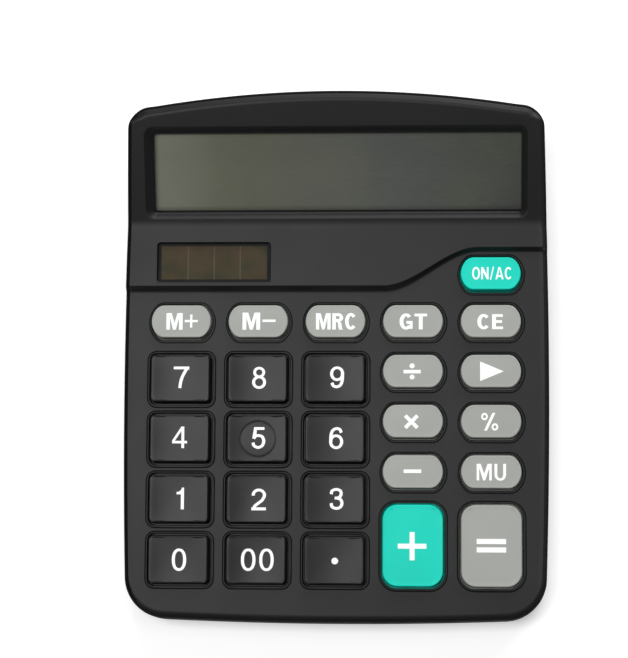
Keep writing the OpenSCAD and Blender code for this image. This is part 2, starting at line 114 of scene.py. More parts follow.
# ---------------------------------------------------------------- plan outline
HL, HW = 74.05, 59.95
SIDE_R, SIDE_Y, FRONT_R, REAR_R = 1700.0, -5.0, 1140.0, 340.0
CREASE_ROWS = [CREASE_Y - CREASE_H + CREASE_H * i / 3 for i in range(7)]
SIDE_YS = sorted(
    [-54, -46, -38, -30, -22, -14, -6, 2, 9, 14.5, 16.5, 22, 25, 27.6, 32.2, 34.4]
    + [lerp(STEP_L[0], STEP_L[1], t) for t, _ in RAMP]
    + [lerp(STEP_R[0], STEP_R[1], t) for t, _ in RAMP]
    + CREASE_ROWS
    + [41, 44, 48, 52, 56, 60]
)


def side_at(y, d):
    return HW - d - (y - SIDE_Y) ** 2 / (2 * SIDE_R)


def front_at(x, d):
    return -HL + d + x * x / (2 * FRONT_R)


def rear_at(x, d, back):
    return back - d - x * x / (2 * REAR_R)


def half_outline(d, back=HL):
    """Right half of the outline set in by d: (x, y, how much the point faces the rear). back is
    where the rear wall's middle is at this height."""
    fr, rr = 11.5 - d, 6.6 - d
    fy = front_at(HW - d - fr - 1.2, d) + fr
    fx = side_at(fy, d) - fr
    ry = rear_at(HW - d - rr - 1.5, d, back) - rr
    rx = side_at(ry, d) - rr
    a0 = -math.pi / 2 + math.atan(fx / FRONT_R)
    a1 = math.atan((fy - SIDE_Y) / SIDE_R)
    a2 = math.atan((ry - SIDE_Y) / SIDE_R)
    a3 = math.pi / 2 - math.atan(rx / REAR_R)
    xf, xr = fx + fr * math.cos(a0), rx + rr * math.cos(a3)
    out = [(xf * i / 9, front_at(xf * i / 9, d), -1.0) for i in range(9)]
    for i in range(17):
        a = lerp(a0, a1, i / 16)
        out.append((fx + fr * math.cos(a), fy + fr * math.sin(a), math.sin(a)))
    out += [(side_at(y, d), y, 0.0) for y in SIDE_YS]
    for i in range(17):
        a = lerp(a2, a3, i / 16)
        out.append((rx + rr * math.cos(a), ry + rr * math.sin(a), math.sin(a)))
    out += [(xr * (20 - i) / 20, rear_at(xr * (20 - i) / 20, d, back), 1.0) for i in range(1, 21)]
    return out


def full_outline(d, back=HL):
    h = half_outline(d, back)
    return h + [(-x, y, n) for x, y, n in reversed(h[1:-1])]


BASE = full_outline(0)
N = len(BASE)
FACING = [p[2] for p in BASE]
SIDE_0 = 9 + 17  # index of the first point of the right side
RIGHT = {round(y, 4): SIDE_0 + i for i, y in enumerate(SIDE_YS)}
LEFT = {y: N - i for y, i in RIGHT.items()}
_outlines = {}


def station(i, d, z):
    """Plan point i of the outline set in by d, at height z. The rear wall leans forward."""
    key = round(d, 5)
    if key not in _outlines:
        _outlines[key] = (full_outline(key, HL), full_outline(key, HL - 1))
    a, b = _outlines[key]
    t = (z - FOOT) * LEAN
    return lerp(a[i][0], b[i][0], t), lerp(a[i][1], b[i][1], t)


def ring_points(inset, height):
    """One ring round the case. inset(i) is its distance from the outline, height(x, y, i) its Z."""
    out = []
    for i in range(N):
        z = 20.0
        for _ in range(3):
            x, y = station(i, inset(i), z)
            z = height(x, y, i)
        out.append((x, y, z))
    return out


# ---------------------------------------------------------------- mesh tools
def inside(x, y, loop):
    hit = False
    n = len(loop)
    for i in range(n):
        x1, y1 = loop[i]
        x2, y2 = loop[(i + 1) % n]
        if (y1 > y) != (y2 > y) and x < (x2 - x1) * (y - y1) / (y2 - y1) + x1:
            hit = not hit
    return hit


class Shape:
    """Vertices in millimetres and faces, gathered before they become one mesh."""

    def __init__(self):
        self.v, self.f, self.m = [], [], []

    def ring(self, pts):
        i = len(self.v)
        self.v.extend(tuple(p) for p in pts)
        return list(range(i, i + len(pts)))

    def face(self, idx, m=0):
        self.f.append(tuple(idx))
        self.m.append(m)

    def strip(self, a, b, m=0, closed=True):
        n = len(a)
        for i in range(n if closed else n - 1):
            j = (i + 1) % n
            self.face((a[i], a[j], b[j], b[i]), m)

    def tube(self, rings, m=0):
        for a, b in zip(rings, rings[1:]):
            self.strip(a, b, m)

    def fan(self, loop, centre, m=0):
        c = self.ring([centre])[0]
        for i in range(len(loop)):
            self.face((loop[i], loop[(i + 1) % len(loop)], c), m)

    def fill(self, outer, holes=(), flat=None, lift=None, extra=(), m=0):
        """Triangles between an outer loop and its holes. flat maps a vertex to 2-D, lift maps 2-D
        back, and extra are 2-D points to add inside."""
        flat = flat or (lambda p: (p[0], p[1]))
        loops = [list(outer)] + [list(h) for h in holes]
        pts, ids, edges = [], [], []
        flats = []
        for lp in loops:
            s = len(pts)
            fl = [flat(self.v[i]) for i in lp]
            flats.append(fl)
            pts += [Vector(p) for p in fl]
            ids += lp
            edges += [(s + i, s + (i + 1) % len(lp)) for i in range(len(lp))]
        for p in extra:
            if inside(p[0], p[1], flats[0]) and not any(inside(p[0], p[1], h) for h in flats[1:]):
                near = min((p[0] - q[0]) ** 2 + (p[1] - q[1]) ** 2 for q in pts)
                if near > 0.04:
                    pts.append(Vector(p))
                    ids.append(self.ring([lift(*p)])[0])
        vs, _, fs, ov, _, _ = delaunay_2d_cdt(pts, edges, [], 0, 1e-7, True)
        index = []
        for k, o in enumerate(ov):
            index.append(ids[o[0]] if o else self.ring([lift(vs[k][0], vs[k][1])])[0])
        for f in fs:
            cx = sum(vs[k][0] for k in f) / len(f)
            cy = sum(vs[k][1] for k in f) / len(f)
            if inside(cx, cy, flats[0]) and not any(inside(cx, cy, h) for h in flats[1:]):
                idx = [index[k] for k in f]
                if len(set(idx)) == len(idx):
                    self.face(idx, m)


def piece(name, shape, mats, body, replaces=(), sharp=38.0, weighted=True):
    """Turns a Shape into an object in metres that rides on a body."""
    me = bpy.data.meshes.new(name)
    me.from_pydata([(x * MM, y * MM, z * MM) for x, y, z in shape.v], [], shape.f)
    for mat in mats:
        me.materials.append(mat)
    me.polygons.foreach_set("material_index", shape.m)
    bm = bmesh.new()
    bm.from_mesh(me)
    bmesh.ops.remove_doubles(bm, verts=bm.verts, dist=1e-8)
    bmesh.ops.delete(bm, geom=[v for v in bm.verts if not v.link_faces], context="VERTS")
    bmesh.ops.recalc_face_normals(bm, faces=bm.faces)
    for f in bm.faces:
        f.smooth = True
    lim = rad(sharp)
    for e in bm.edges:
        e.smooth = len(e.link_faces) == 2 and e.calc_face_angle(0) < lim
    open_edges = sum(1 for e in bm.edges if len(e.link_faces) != 2)
    if open_edges:
        print("open edges in", name, open_edges)
    bm.to_mesh(me)
    bm.free()
    ob = bpy.data.objects.new(name, me)
    bpy.context.scene.collection.objects.link(ob)
    if weighted:
        wn = ob.modifiers.new("normals", "WEIGHTED_NORMAL")
        wn.keep_sharp = True
        wn.weight = 60
    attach(ob, body)
    if replaces:
        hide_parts(*replaces)
    return ob


# ---------------------------------------------------------------- materials
def srgb(r, g, b):
    def f(c):
        c /= 255
        return c / 12.92 if c <= 0.04045 else ((c + 0.055) / 1.055) ** 2.4

    return (f(r), f(g), f(b), 1.0)


def scaled(c, k):
    return (min(c[0] * k, 1), min(c[1] * k, 1), min(c[2] * k, 1), 1.0)


class Mat:
    """A node material on object coordinates."""

    def __init__(self, name):
        self.m = bpy.data.materials.new(name)
        self.m.use_nodes = True
        self.t = self.m.node_tree
        self.b = self.t.nodes["Principled BSDF"]
        self.out = self.t.nodes["Material Output"]
        self.co = self.t.nodes.new("ShaderNodeTexCoord").outputs["Object"]

    def node(self, kind, **props):
        n = self.t.nodes.new(kind)
        for k, v in props.items():
            setattr(n, k, v)
        return n

    def link(self, a, b):
        self.t.links.new(a, b)

    def set(self, **kw):
        for k, v in kw.items():
            self.b.inputs[k.replace("_", " ")].default_value = v

    def noise(self, size_mm, detail=3.0, rough=0.55, stretch=None, seed=0.0):
        """Noise with features of about this size."""
        n = self.node("ShaderNodeTexNoise")
        n.inputs["Scale"].default_value = 1000.0 / size_mm
        n.inputs["Detail"].default_value = detail
        n.inputs["Roughness"].default_value = rough
        mp = self.node("ShaderNodeMapping")
        mp.inputs["Location"].default_value = (seed, seed * 0.7, seed * 1.3)
        if stretch:
            mp.inputs["Scale"].default_value = stretch
        self.link(self.co, mp.inputs["Vector"])
        self.link(mp.outputs["Vector"], n.inputs["Vector"])
        return n.outputs["Fac"]

    def ramp(self, fac, lo, hi, a=0.3, b=0.7):
        """Colour or grey ramp from lo at a to hi at b."""
        r = self.node("ShaderNodeValToRGB")
        r.color_ramp.elements[0].position = a
        r.color_ramp.elements[1].position = b
        if not isinstance(lo, tuple):
            lo, hi = (lo, lo, lo, 1), (hi, hi, hi, 1)
        r.color_ramp.elements[0].color = lo
        r.color_ramp.elements[1].color = hi
        self.link(fac, r.inputs["Fac"])
        return r.outputs["Color"]

    def math(self, op, a, b=0.0, c=0.0):
        n = self.node("ShaderNodeMath", operation=op)
        for i, s in enumerate((a, b, c)):
            if isinstance(s, (int, float)):
                n.inputs[i].default_value = s
            else:
                self.link(s, n.inputs[i])
        return n.outputs[0]

    def mix(self, fac, a, b, blend="MIX"):
        n = self.node("ShaderNodeMix", data_type="RGBA", blend_type=blend)
        if isinstance(fac, (int, float)):
            n.inputs[0].default_value = fac
        else:
            self.link(fac, n.inputs[0])
        for i, s in ((6, a), (7, b)):
            if isinstance(s, tuple):
                n.inputs[i].default_value = s
            else:
                self.link(s, n.inputs[i])
        return n.outputs[2]

    def bump(self, height, depth_mm, strength=1.0):
        n = self.node("ShaderNodeBump")
        n.inputs["Strength"].default_value = strength
        n.inputs["Distance"].default_value = depth_mm * MM
        self.link(height, n.inputs["Height"])
        self.link(n.outputs["Normal"], self.b.inputs["Normal"])


def plastic(name, base, rough, spec=0.5, grain=0.3, depth=0.012, var=0.12, rvar=0.06, cloud=24.0, seed=0.0):
    """Moulded plastic: slow colour drift, spark-eroded grain, uneven gloss."""
    m = Mat(name)
    slow = m.noise(cloud, 2.0, seed=seed)
    fine = m.noise(grain, 2.0, seed=seed + 3)
    col = m.ramp(slow, scaled(base, 1 - var), scaled(base, 1 + var), 0.35, 0.65)
    col = m.mix(m.ramp(fine, 0.0, 0.25, 0.3, 0.7), col, scaled(base, 1 + 2.2 * var))
    m.link(col, m.b.inputs["Base Color"])
    m.link(m.ramp(m.noise(cloud * 0.4, 3.0, seed=seed + 7), rough - rvar, rough + rvar), m.b.inputs["Roughness"])
    m.set(Specular_IOR_Level=spec)
    m.bump(fine, depth)
    return m


def metal(name, base, rough, scratch=0.4):
    m = Mat(name)
    n1 = m.noise(1.6, 3.0)
    n2 = m.noise(scratch, 2.0, stretch=(1.0, 0.12, 1.0))
    m.link(m.ramp(n1, scaled(base, 0.86), scaled(base, 1.08)), m.b.inputs["Base Color"])
    m.link(m.ramp(n2, rough - 0.07, rough + 0.12), m.b.inputs["Roughness"])
    m.set(Metallic=1.0)
    m.bump(n2, 0.004)
    return m


GREY_LIFT = 1.0
CASE = plastic("case_plastic", (0.0095, 0.0095, 0.0099, 1), 0.42, 0.19, grain=0.28, depth=0.008, var=0.05, rvar=0.015, cloud=40.0, seed=1)
WALL = plastic("case_wall_plastic", (0.0095, 0.0095, 0.0099, 1), 0.60, 0.03, grain=0.28, depth=0.008, var=0.05, rvar=0.015, cloud=40.0, seed=1)
# painted shade: a near-black copy of the case plastic, put on the outer rear edge and the left rim where shade falls
EDGE = plastic("case_edge_painted_shade", (0.0035, 0.0035, 0.0037, 1), 0.60, 0.03, grain=0.28, depth=0.008, var=0.05, rvar=0.015, cloud=40.0, seed=1)
UNDER = plastic("underside_plastic", (0.0110, 0.0110, 0.0114, 1), 0.60, 0.05, grain=0.40, depth=0.018, seed=2)
KEY_BLACK = plastic("key_black_plastic", (0.0110, 0.0110, 0.0114, 1), 0.25, 0.13, grain=0.22, depth=0.004, var=0.05, rvar=0.02, cloud=40.0, seed=4)
KEY_GREY = plastic("key_grey_plastic", srgb(154, 156, 151), 0.42, 0.12, grain=0.25, depth=0.004, var=0.03, seed=5)
KEY_TEAL = plastic("key_teal_plastic", (0.008, 0.575, 0.448, 1), 0.38, 0.10, grain=0.25, depth=0.004, var=0.04, seed=6)
INK = plastic("legend_ink", (0.90, 0.91, 0.89, 1), 0.5, 0.3, grain=0.2, depth=0.002, var=0.02, rvar=0.04, seed=8)
RUBBER = plastic("foot_rubber_compound", (0.022, 0.022, 0.022, 1), 0.78, 0.25, grain=0.5, depth=0.03, seed=9)
SILICONE = plastic("silicone_rubber", (0.52, 0.53, 0.50, 1), 0.6, 0.4, grain=0.4, depth=0.01, var=0.03, seed=10)
HOLDER = plastic("holder_plastic", (0.016, 0.016, 0.016, 1), 0.55, 0.35, grain=0.35, depth=0.015, seed=11)
RESIN = plastic("chip_resin_drop", (0.008, 0.008, 0.009, 1), 0.2, 0.5, grain=0.8, depth=0.01, seed=12)
WIRE_RED = plastic("wire_red_sheath", (0.50, 0.02, 0.015, 1), 0.42, 0.5, grain=0.5, depth=0.005, seed=13)
WIRE_BLACK = plastic("wire_black_sheath", (0.012, 0.012, 0.012, 1), 0.42, 0.5, grain=0.5, depth=0.005, seed=14)
STEEL = metal("screw_steel_plate", (0.55, 0.55, 0.56, 1), 0.30)
CONTACT = metal("contact_nickel", (0.72, 0.70, 0.66, 1), 0.22)


def make_board():
    m = Mat("board_laminate_green")
    weave = m.node("ShaderNodeTexChecker")
    weave.inputs["Scale"].default_value = 1000 / 0.9
    weave.inputs["Color1"].default_value = (0.035, 0.16, 0.055, 1)
    weave.inputs["Color2"].default_value = (0.030, 0.14, 0.048, 1)
    m.link(m.co, weave.inputs["Vector"])
    m.link(m.mix(m.ramp(m.noise(6), 0.0, 0.5), weave.outputs["Color"], (0.045, 0.19, 0.07, 1)), m.b.inputs["Base Color"])
    m.link(m.ramp(m.noise(3, seed=2), 0.28, 0.45), m.b.inputs["Roughness"])
    return m


def make_ribbon():
    m = Mat("ribbon_film_amber")
    w = m.node("ShaderNodeTexWave", bands_direction="X")
    w.inputs["Scale"].default_value = 1000 / 1.27 / 6.2
    m.link(m.co, w.inputs["Vector"])
    m.link(m.ramp(w.outputs["Fac"], (0.42, 0.22, 0.06, 1), (0.20, 0.10, 0.03, 1), 0.45, 0.55), m.b.inputs["Base Color"])
    m.link(m.ramp(m.noise(2), 0.25, 0.4), m.b.inputs["Roughness"])
    return m


def make_can():
    m = Mat("capacitor_sleeve")
    n = m.noise(2.0)
    m.link(m.ramp(n, (0.012, 0.018, 0.07, 1), (0.02, 0.03, 0.10, 1)), m.b.inputs["Base Color"])
    m.link(m.ramp(m.noise(0.8, seed=3), 0.25, 0.4), m.b.inputs["Roughness"])
    return m


def make_cell():
    """Bare wrapped cell: a dark sleeve with a copper-coloured band at the cap end."""
    m = Mat("cell_sleeve")
    sep = m.node("ShaderNodeSeparateXYZ")
    m.link(m.co, sep.inputs["Vector"])
    band = m.math("GREATER_THAN", sep.outputs["X"], 0.012)
    end = m.math("GREATER_THAN", sep.outputs["X"], 0.02465)
    col = m.mix(band, (0.018, 0.020, 0.024, 1), (0.34, 0.15, 0.05, 1))
    col = m.mix(end, col, (0.60, 0.60, 0.60, 1))
    col = m.mix(m.ramp(m.noise(3), 0.0, 0.18), col, (0.10, 0.09, 0.08, 1))
    m.link(col, m.b.inputs["Base Color"])
    m.link(m.ramp(m.noise(1.4, seed=5), 0.22, 0.36), m.b.inputs["Roughness"])
    m.link(m.math("MULTIPLY", end, 0.9), m.b.inputs["Metallic"])
    return m


def make_lens():
    """Clear acrylic: see-through, with a sharp gloss on top."""
    m = Mat("lens_acrylic")
    m.set(Base_Color=(0.02, 0.02, 0.02, 1), Specular_IOR_Level=0.5)
    m.link(m.ramp(m.noise(5), 0.04, 0.07), m.b.inputs["Roughness"])
    see = m.node("ShaderNodeBsdfTransparent")
    see.inputs["Color"].default_value = (0.97, 0.975, 0.965, 1)
    fr = m.node("ShaderNodeFresnel")
    fr.inputs["IOR"].default_value = 1.42
    back = m.node("ShaderNodeNewGeometry").outputs["Backfacing"]
    mx = m.node("ShaderNodeMixShader")
    m.link(m.math("MULTIPLY", fr.outputs["Fac"], m.math("SUBTRACT", 1.0, back)), mx.inputs["Fac"])
    m.link(see.outputs["BSDF"], mx.inputs[1])
    m.link(m.b.outputs["BSDF"], mx.inputs[2])
    m.link(mx.outputs["Shader"], m.out.inputs["Surface"])
    return m


def make_lcd():
    """Reflective display glass: olive grey polariser over a brushed reflector, with a painted reflection that runs
    light on the left to dark on the right.
    """
    m = Mat("lcd_polariser")
    sep = m.node("ShaderNodeSeparateXYZ")
    m.link(m.co, sep.inputs["Vector"])
    # painted reflection: a colour ramp across X, light at the left end and dark at the right end
    across = m.math("MULTIPLY_ADD", sep.outputs["X"], 1 / 0.108, 0.5)
    painted_reflection = m.node("ShaderNodeValToRGB")
    painted_reflection_stops = [(0.03, 0.1971, 0.1951, 0.1577), (0.115, 0.1698, 0.1684, 0.1366), (0.19, 0.133, 0.133, 0.1001), (0.28, 0.1189, 0.1189, 0.0914), (0.38, 0.1139, 0.1139, 0.0958),
             (0.5, 0.1075, 0.1043, 0.0998), (0.66, 0.0867, 0.0894, 0.0881), (0.82, 0.0708, 0.0764, 0.0722), (0.97, 0.054, 0.0562, 0.0576)]
    for k, (pos, r, g, b) in enumerate(painted_reflection_stops):
        e = painted_reflection.color_ramp.elements[k] if k < 2 else painted_reflection.color_ramp.elements.new(pos)
        e.position = pos
        e.color = (r, g, b, 1)
    m.link(across, painted_reflection.inputs["Fac"])
    col = m.mix(m.ramp(m.noise(30, 1.0, seed=3), 0.0, 0.16, 0.45, 0.62), painted_reflection.outputs["Color"], srgb(108, 112, 80))
    col = m.mix(m.ramp(m.noise(26, 1.0, seed=8), 0.0, 0.16, 0.5, 0.66), col, srgb(84, 96, 92))
    col = m.mix(m.ramp(m.noise(0.5, 2.0, stretch=(0.15, 1.0, 1.0)), 0.0, 0.08), col, srgb(130, 132, 120))
    # painted shade: the glass darkens towards its front edge under the ledge, then turns black in front of y = 42 mm
    near = m.ramp(m.math("MULTIPLY_ADD", sep.outputs["Y"], -1000 / 1.3, 43.3 / 1.3), 0.0, 1.0, 0.0, 1.0)
    col = m.mix(m.math("MULTIPLY", near, 0.55), col, srgb(40, 41, 38))
    col = m.mix(m.math("LESS_THAN", sep.outputs["Y"], 42.0 * MM), col, (0.004, 0.004, 0.004, 1))
    m.link(col, m.b.inputs["Base Color"])
    m.link(m.ramp(m.noise(9), 0.42, 0.5), m.b.inputs["Roughness"])
    m.set(Specular_IOR_Level=0.25)
    return m


def make_solar():
    """Amorphous solar glass: four brown fields parted by thin pale lines, and a black edge that is partly print and
    partly painted shade from the window's walls.
    """
    m = Mat("solar_cell_glass")
    sep = m.node("ShaderNodeSeparateXYZ")
    m.link(m.co, sep.inputs["Vector"])
    x, y = sep.outputs["X"], sep.outputs["Y"]
    col = m.ramp(m.noise(9, 2.0), srgb(48, 46, 30), srgb(67, 53, 37), 0.35, 0.68)
    col = m.mix(m.ramp(m.noise(5, 2.0, seed=6), 0.0, 0.45, 0.5, 0.75), col, srgb(50, 56, 36))
    line = None
    for k in (-1, 0, 1):
        d = m.math("ABSOLUTE", m.math("SUBTRACT", x, (-34.6 + k * 7.4) * MM))
        hit = m.math("LESS_THAN", d, 0.17 * MM)
        line = hit if line is None else m.math("MAXIMUM", line, hit)
    col = m.mix(m.math("MULTIPLY", line, 0.20), col, srgb(120, 112, 96))
    # black edge of the glass: partly its print, partly painted shade standing in for the shadow of the window's walls
    ex = m.math("GREATER_THAN", m.math("ABSOLUTE", m.math("SUBTRACT", x, -34.6 * MM)), 15.05 * MM)
    ey = m.math("GREATER_THAN", m.math("ABSOLUTE", m.math("SUBTRACT", y, 26.75 * MM)), 4.75 * MM)
    col = m.mix(m.math("MAXIMUM", ex, ey), col, (0.004, 0.004, 0.004, 1))
    m.link(col, m.b.inputs["Base Color"])
    m.link(m.ramp(m.noise(3, seed=2), 0.40, 0.46), m.b.inputs["Roughness"])
    m.set(Specular_IOR_Level=0.08)
    return m


BOARD, RIBBON, CAN, CELL = make_board(), make_ribbon(), make_can(), make_cell()
LENS, LCD, SOLAR = make_lens(), make_lcd(), make_solar()

CARRIED = {
    "bottom_cover": UNDER,
    "battery_door": UNDER,
    "rubber_feet": RUBBER,
    "case_screws": STEEL,
    "display_lens": LENS,
    "display_panel": LCD,
    "display_holder": HOLDER,
    "display_screws": STEEL,
    "display_ribbon": RIBBON,
    "solar_cell": SOLAR,
    "main_board": BOARD,
    "board_screws": STEEL,
    "rubber_keypad": SILICONE,
    "calculator_chip": RESIN,
    "buffer_capacitor": CAN,
    "battery_cell": CELL,
    "contact_plate": CONTACT,
    "contact_spring": CONTACT,
    "battery_wire_red": WIRE_RED,
    "battery_wire_black": WIRE_BLACK,
    "solar_wire_red": WIRE_RED,
    "solar_wire_black": WIRE_BLACK,
}
for n, mat in CARRIED.items():
    ob = NODES[n]
    ob.data.materials.clear()
    ob.data.materials.append(mat.m)

# ---------------------------------------------------------------- key outlines, on the plate's slope
NUM, OVAL, TALL = (17.2, 13.9, 1.6), (16.8, 9.45, 0.0), (17.0, 23.0, 3.8)


def rect_loop(w, d, r, arc=8, long=8, short=6, cx=0.0, cy=0.0):
    """Rounded rectangle, from its lower right corner, turning left."""
    pts = []
    hw, hd = w / 2 - r, d / 2 - r
    for sx, sy, a0, n in ((1, -1, -90, short), (1, 1, 0, long), (-1, 1, 90, short), (-1, -1, 180, long)):
        for i in range(arc + 1):
            a = rad(a0 + 90 * i / arc)
            pts.append((cx + sx * hw + r * math.cos(a), cy + sy * hd + r * math.sin(a)))
        a = pts[-1]
        nx, ny = {(1, -1): (1, 1), (1, 1): (-1, 1), (-1, 1): (-1, -1), (-1, -1): (1, -1)}[(sx, sy)]
        e = rad(a0 + 90)
        b = (cx + nx * hw + r * math.cos(e), cy + ny * hd + r * math.sin(e))
        pts += [(lerp(a[0], b[0], i / n), lerp(a[1], b[1], i / n)) for i in range(1, n)]
    return pts


def oval_loop(e, size=OVAL, corner=2.2):
    """Straight long sides, bowed ends and corner arcs between them."""
    w, d = size[0] + 2 * e, size[1] + 2 * e
    r, rc = d * 0.584, corner + e
    ex = w / 2 - r
    cy = d / 2 - rc
    cx = ex + math.sqrt((r - rc) ** 2 - cy * cy)
    a = math.atan2(cy, cx - ex)
    q = []
    for i in range(11):
        t = lerp(0, a, i / 10)
        q.append((ex + r * math.cos(t), r * math.sin(t)))
    for i in range(1, 8):
        t = lerp(a, math.pi / 2, i / 7)
        q.append((cx + rc * math.cos(t), cy + rc * math.sin(t)))
    q += [(cx * (1 - i / 4), d / 2) for i in range(1, 5)]
    up = q + [(-x, y) for x, y in reversed(q[:-1])]
    return up + [(x, -y) for x, y in reversed(up[1:-1])]


def key_loop(kind, e):
    if kind == "oval":
        return oval_loop(e)
    w, d, r = NUM if kind == "num" else TALL
    return rect_loop(w + 2 * e, d + 2 * e, r + e)


PITCH = 21.8
KEYS = []
for r, row in enumerate((("7", "8", "9"), ("4", "5", "6"), ("1", "2", "3"), ("0", "00", "decimal"))):
    for c, n in enumerate(row):
        KEYS.append(("key_" + n, "num", (c - 2) * PITCH, 66.33 - 16.9 * r))
for c, n in enumerate(("m_plus", "m_minus", "mrc", "gt", "ce")):
    KEYS.append(("key_" + n, "oval", (c - 2) * PITCH, 82.49))
for r, row in enumerate((("divide", "arrow"), ("multiply", "percent"), ("minus", "mu"))):
    for c, n in enumerate(row):
        KEYS.append(("key_" + n, "oval", (c + 1) * PITCH, 82.49 - 14.06 * (r + 1)))
KEYS.append(("key_on_ac", "oval", 2 * PITCH, 96.01))
KEYS.append(("key_plus", "tall", PITCH, 19.81))
KEYS.append(("key_equals", "tall", 2 * PITCH, 19.81))


# ---------------------------------------------------------------- top cover
XS = [-54.5 + 3.4 * i for i in range(20)] + [13.5 + 26.5 * i / 30 for i in range(31)] + [42.5, 46, 50, 54.5]
XS_CREASE = [-54.5 + 109 * i / 24 for i in range(25)]


def skin(sh, ring, dz, plate_holes, head_holes, hood_holes):
    """The three faces of the top, inside a ring, joined by the slanted edge and the soft crease."""
    n = len(ring)

    def row(ys, xs, y_left, y_right):
        mid = sh.ring([(x, ys(x), top_z(x, ys(x)) + dz) for x in xs])
        return [ring[LEFT[round(y_left, 4)]]] + mid + [ring[RIGHT[round(y_right, 4)]]]

    steps = []
    for t, _ in RAMP:
        steps.append(row(lambda x, t=t: step_row(x, t), XS, lerp(*STEP_L, t), lerp(*STEP_R, t)))
    creases = [row(lambda x, y=y: y, XS_CREASE, y, y) for y in CREASE_ROWS]
    for rows in (steps, creases):
        for a, b in zip(rows, rows[1:]):
            sh.strip(a, b, closed=False)

    def walk(a, b):
        return [ring[k % n] for k in range(a, (b if b >= a else b + n) + 1)]

    r4 = lambda y: round(y, 4)
    iR0, iR1 = RIGHT[r4(STEP_R[0])], RIGHT[r4(STEP_R[1])]
    iL0, iL1 = LEFT[r4(STEP_L[0])], LEFT[r4(STEP_L[1])]
    cR0, cR1 = RIGHT[r4(CREASE_ROWS[0])], RIGHT[r4(CREASE_ROWS[-1])]
    cL0, cL1 = LEFT[r4(CREASE_ROWS[0])], LEFT[r4(CREASE_ROWS[-1])]
    sh.fill(walk(iL0, iR0) + steps[0][1:-1][::-1], plate_holes)
    sh.fill(walk(iR1, cR0) + creases[0][1:-1][::-1] + walk(cL0, iL1) + steps[-1][1:-1], head_holes)
    sh.fill(walk(cR1, cL1) + creases[-1][1:-1], hood_holes)


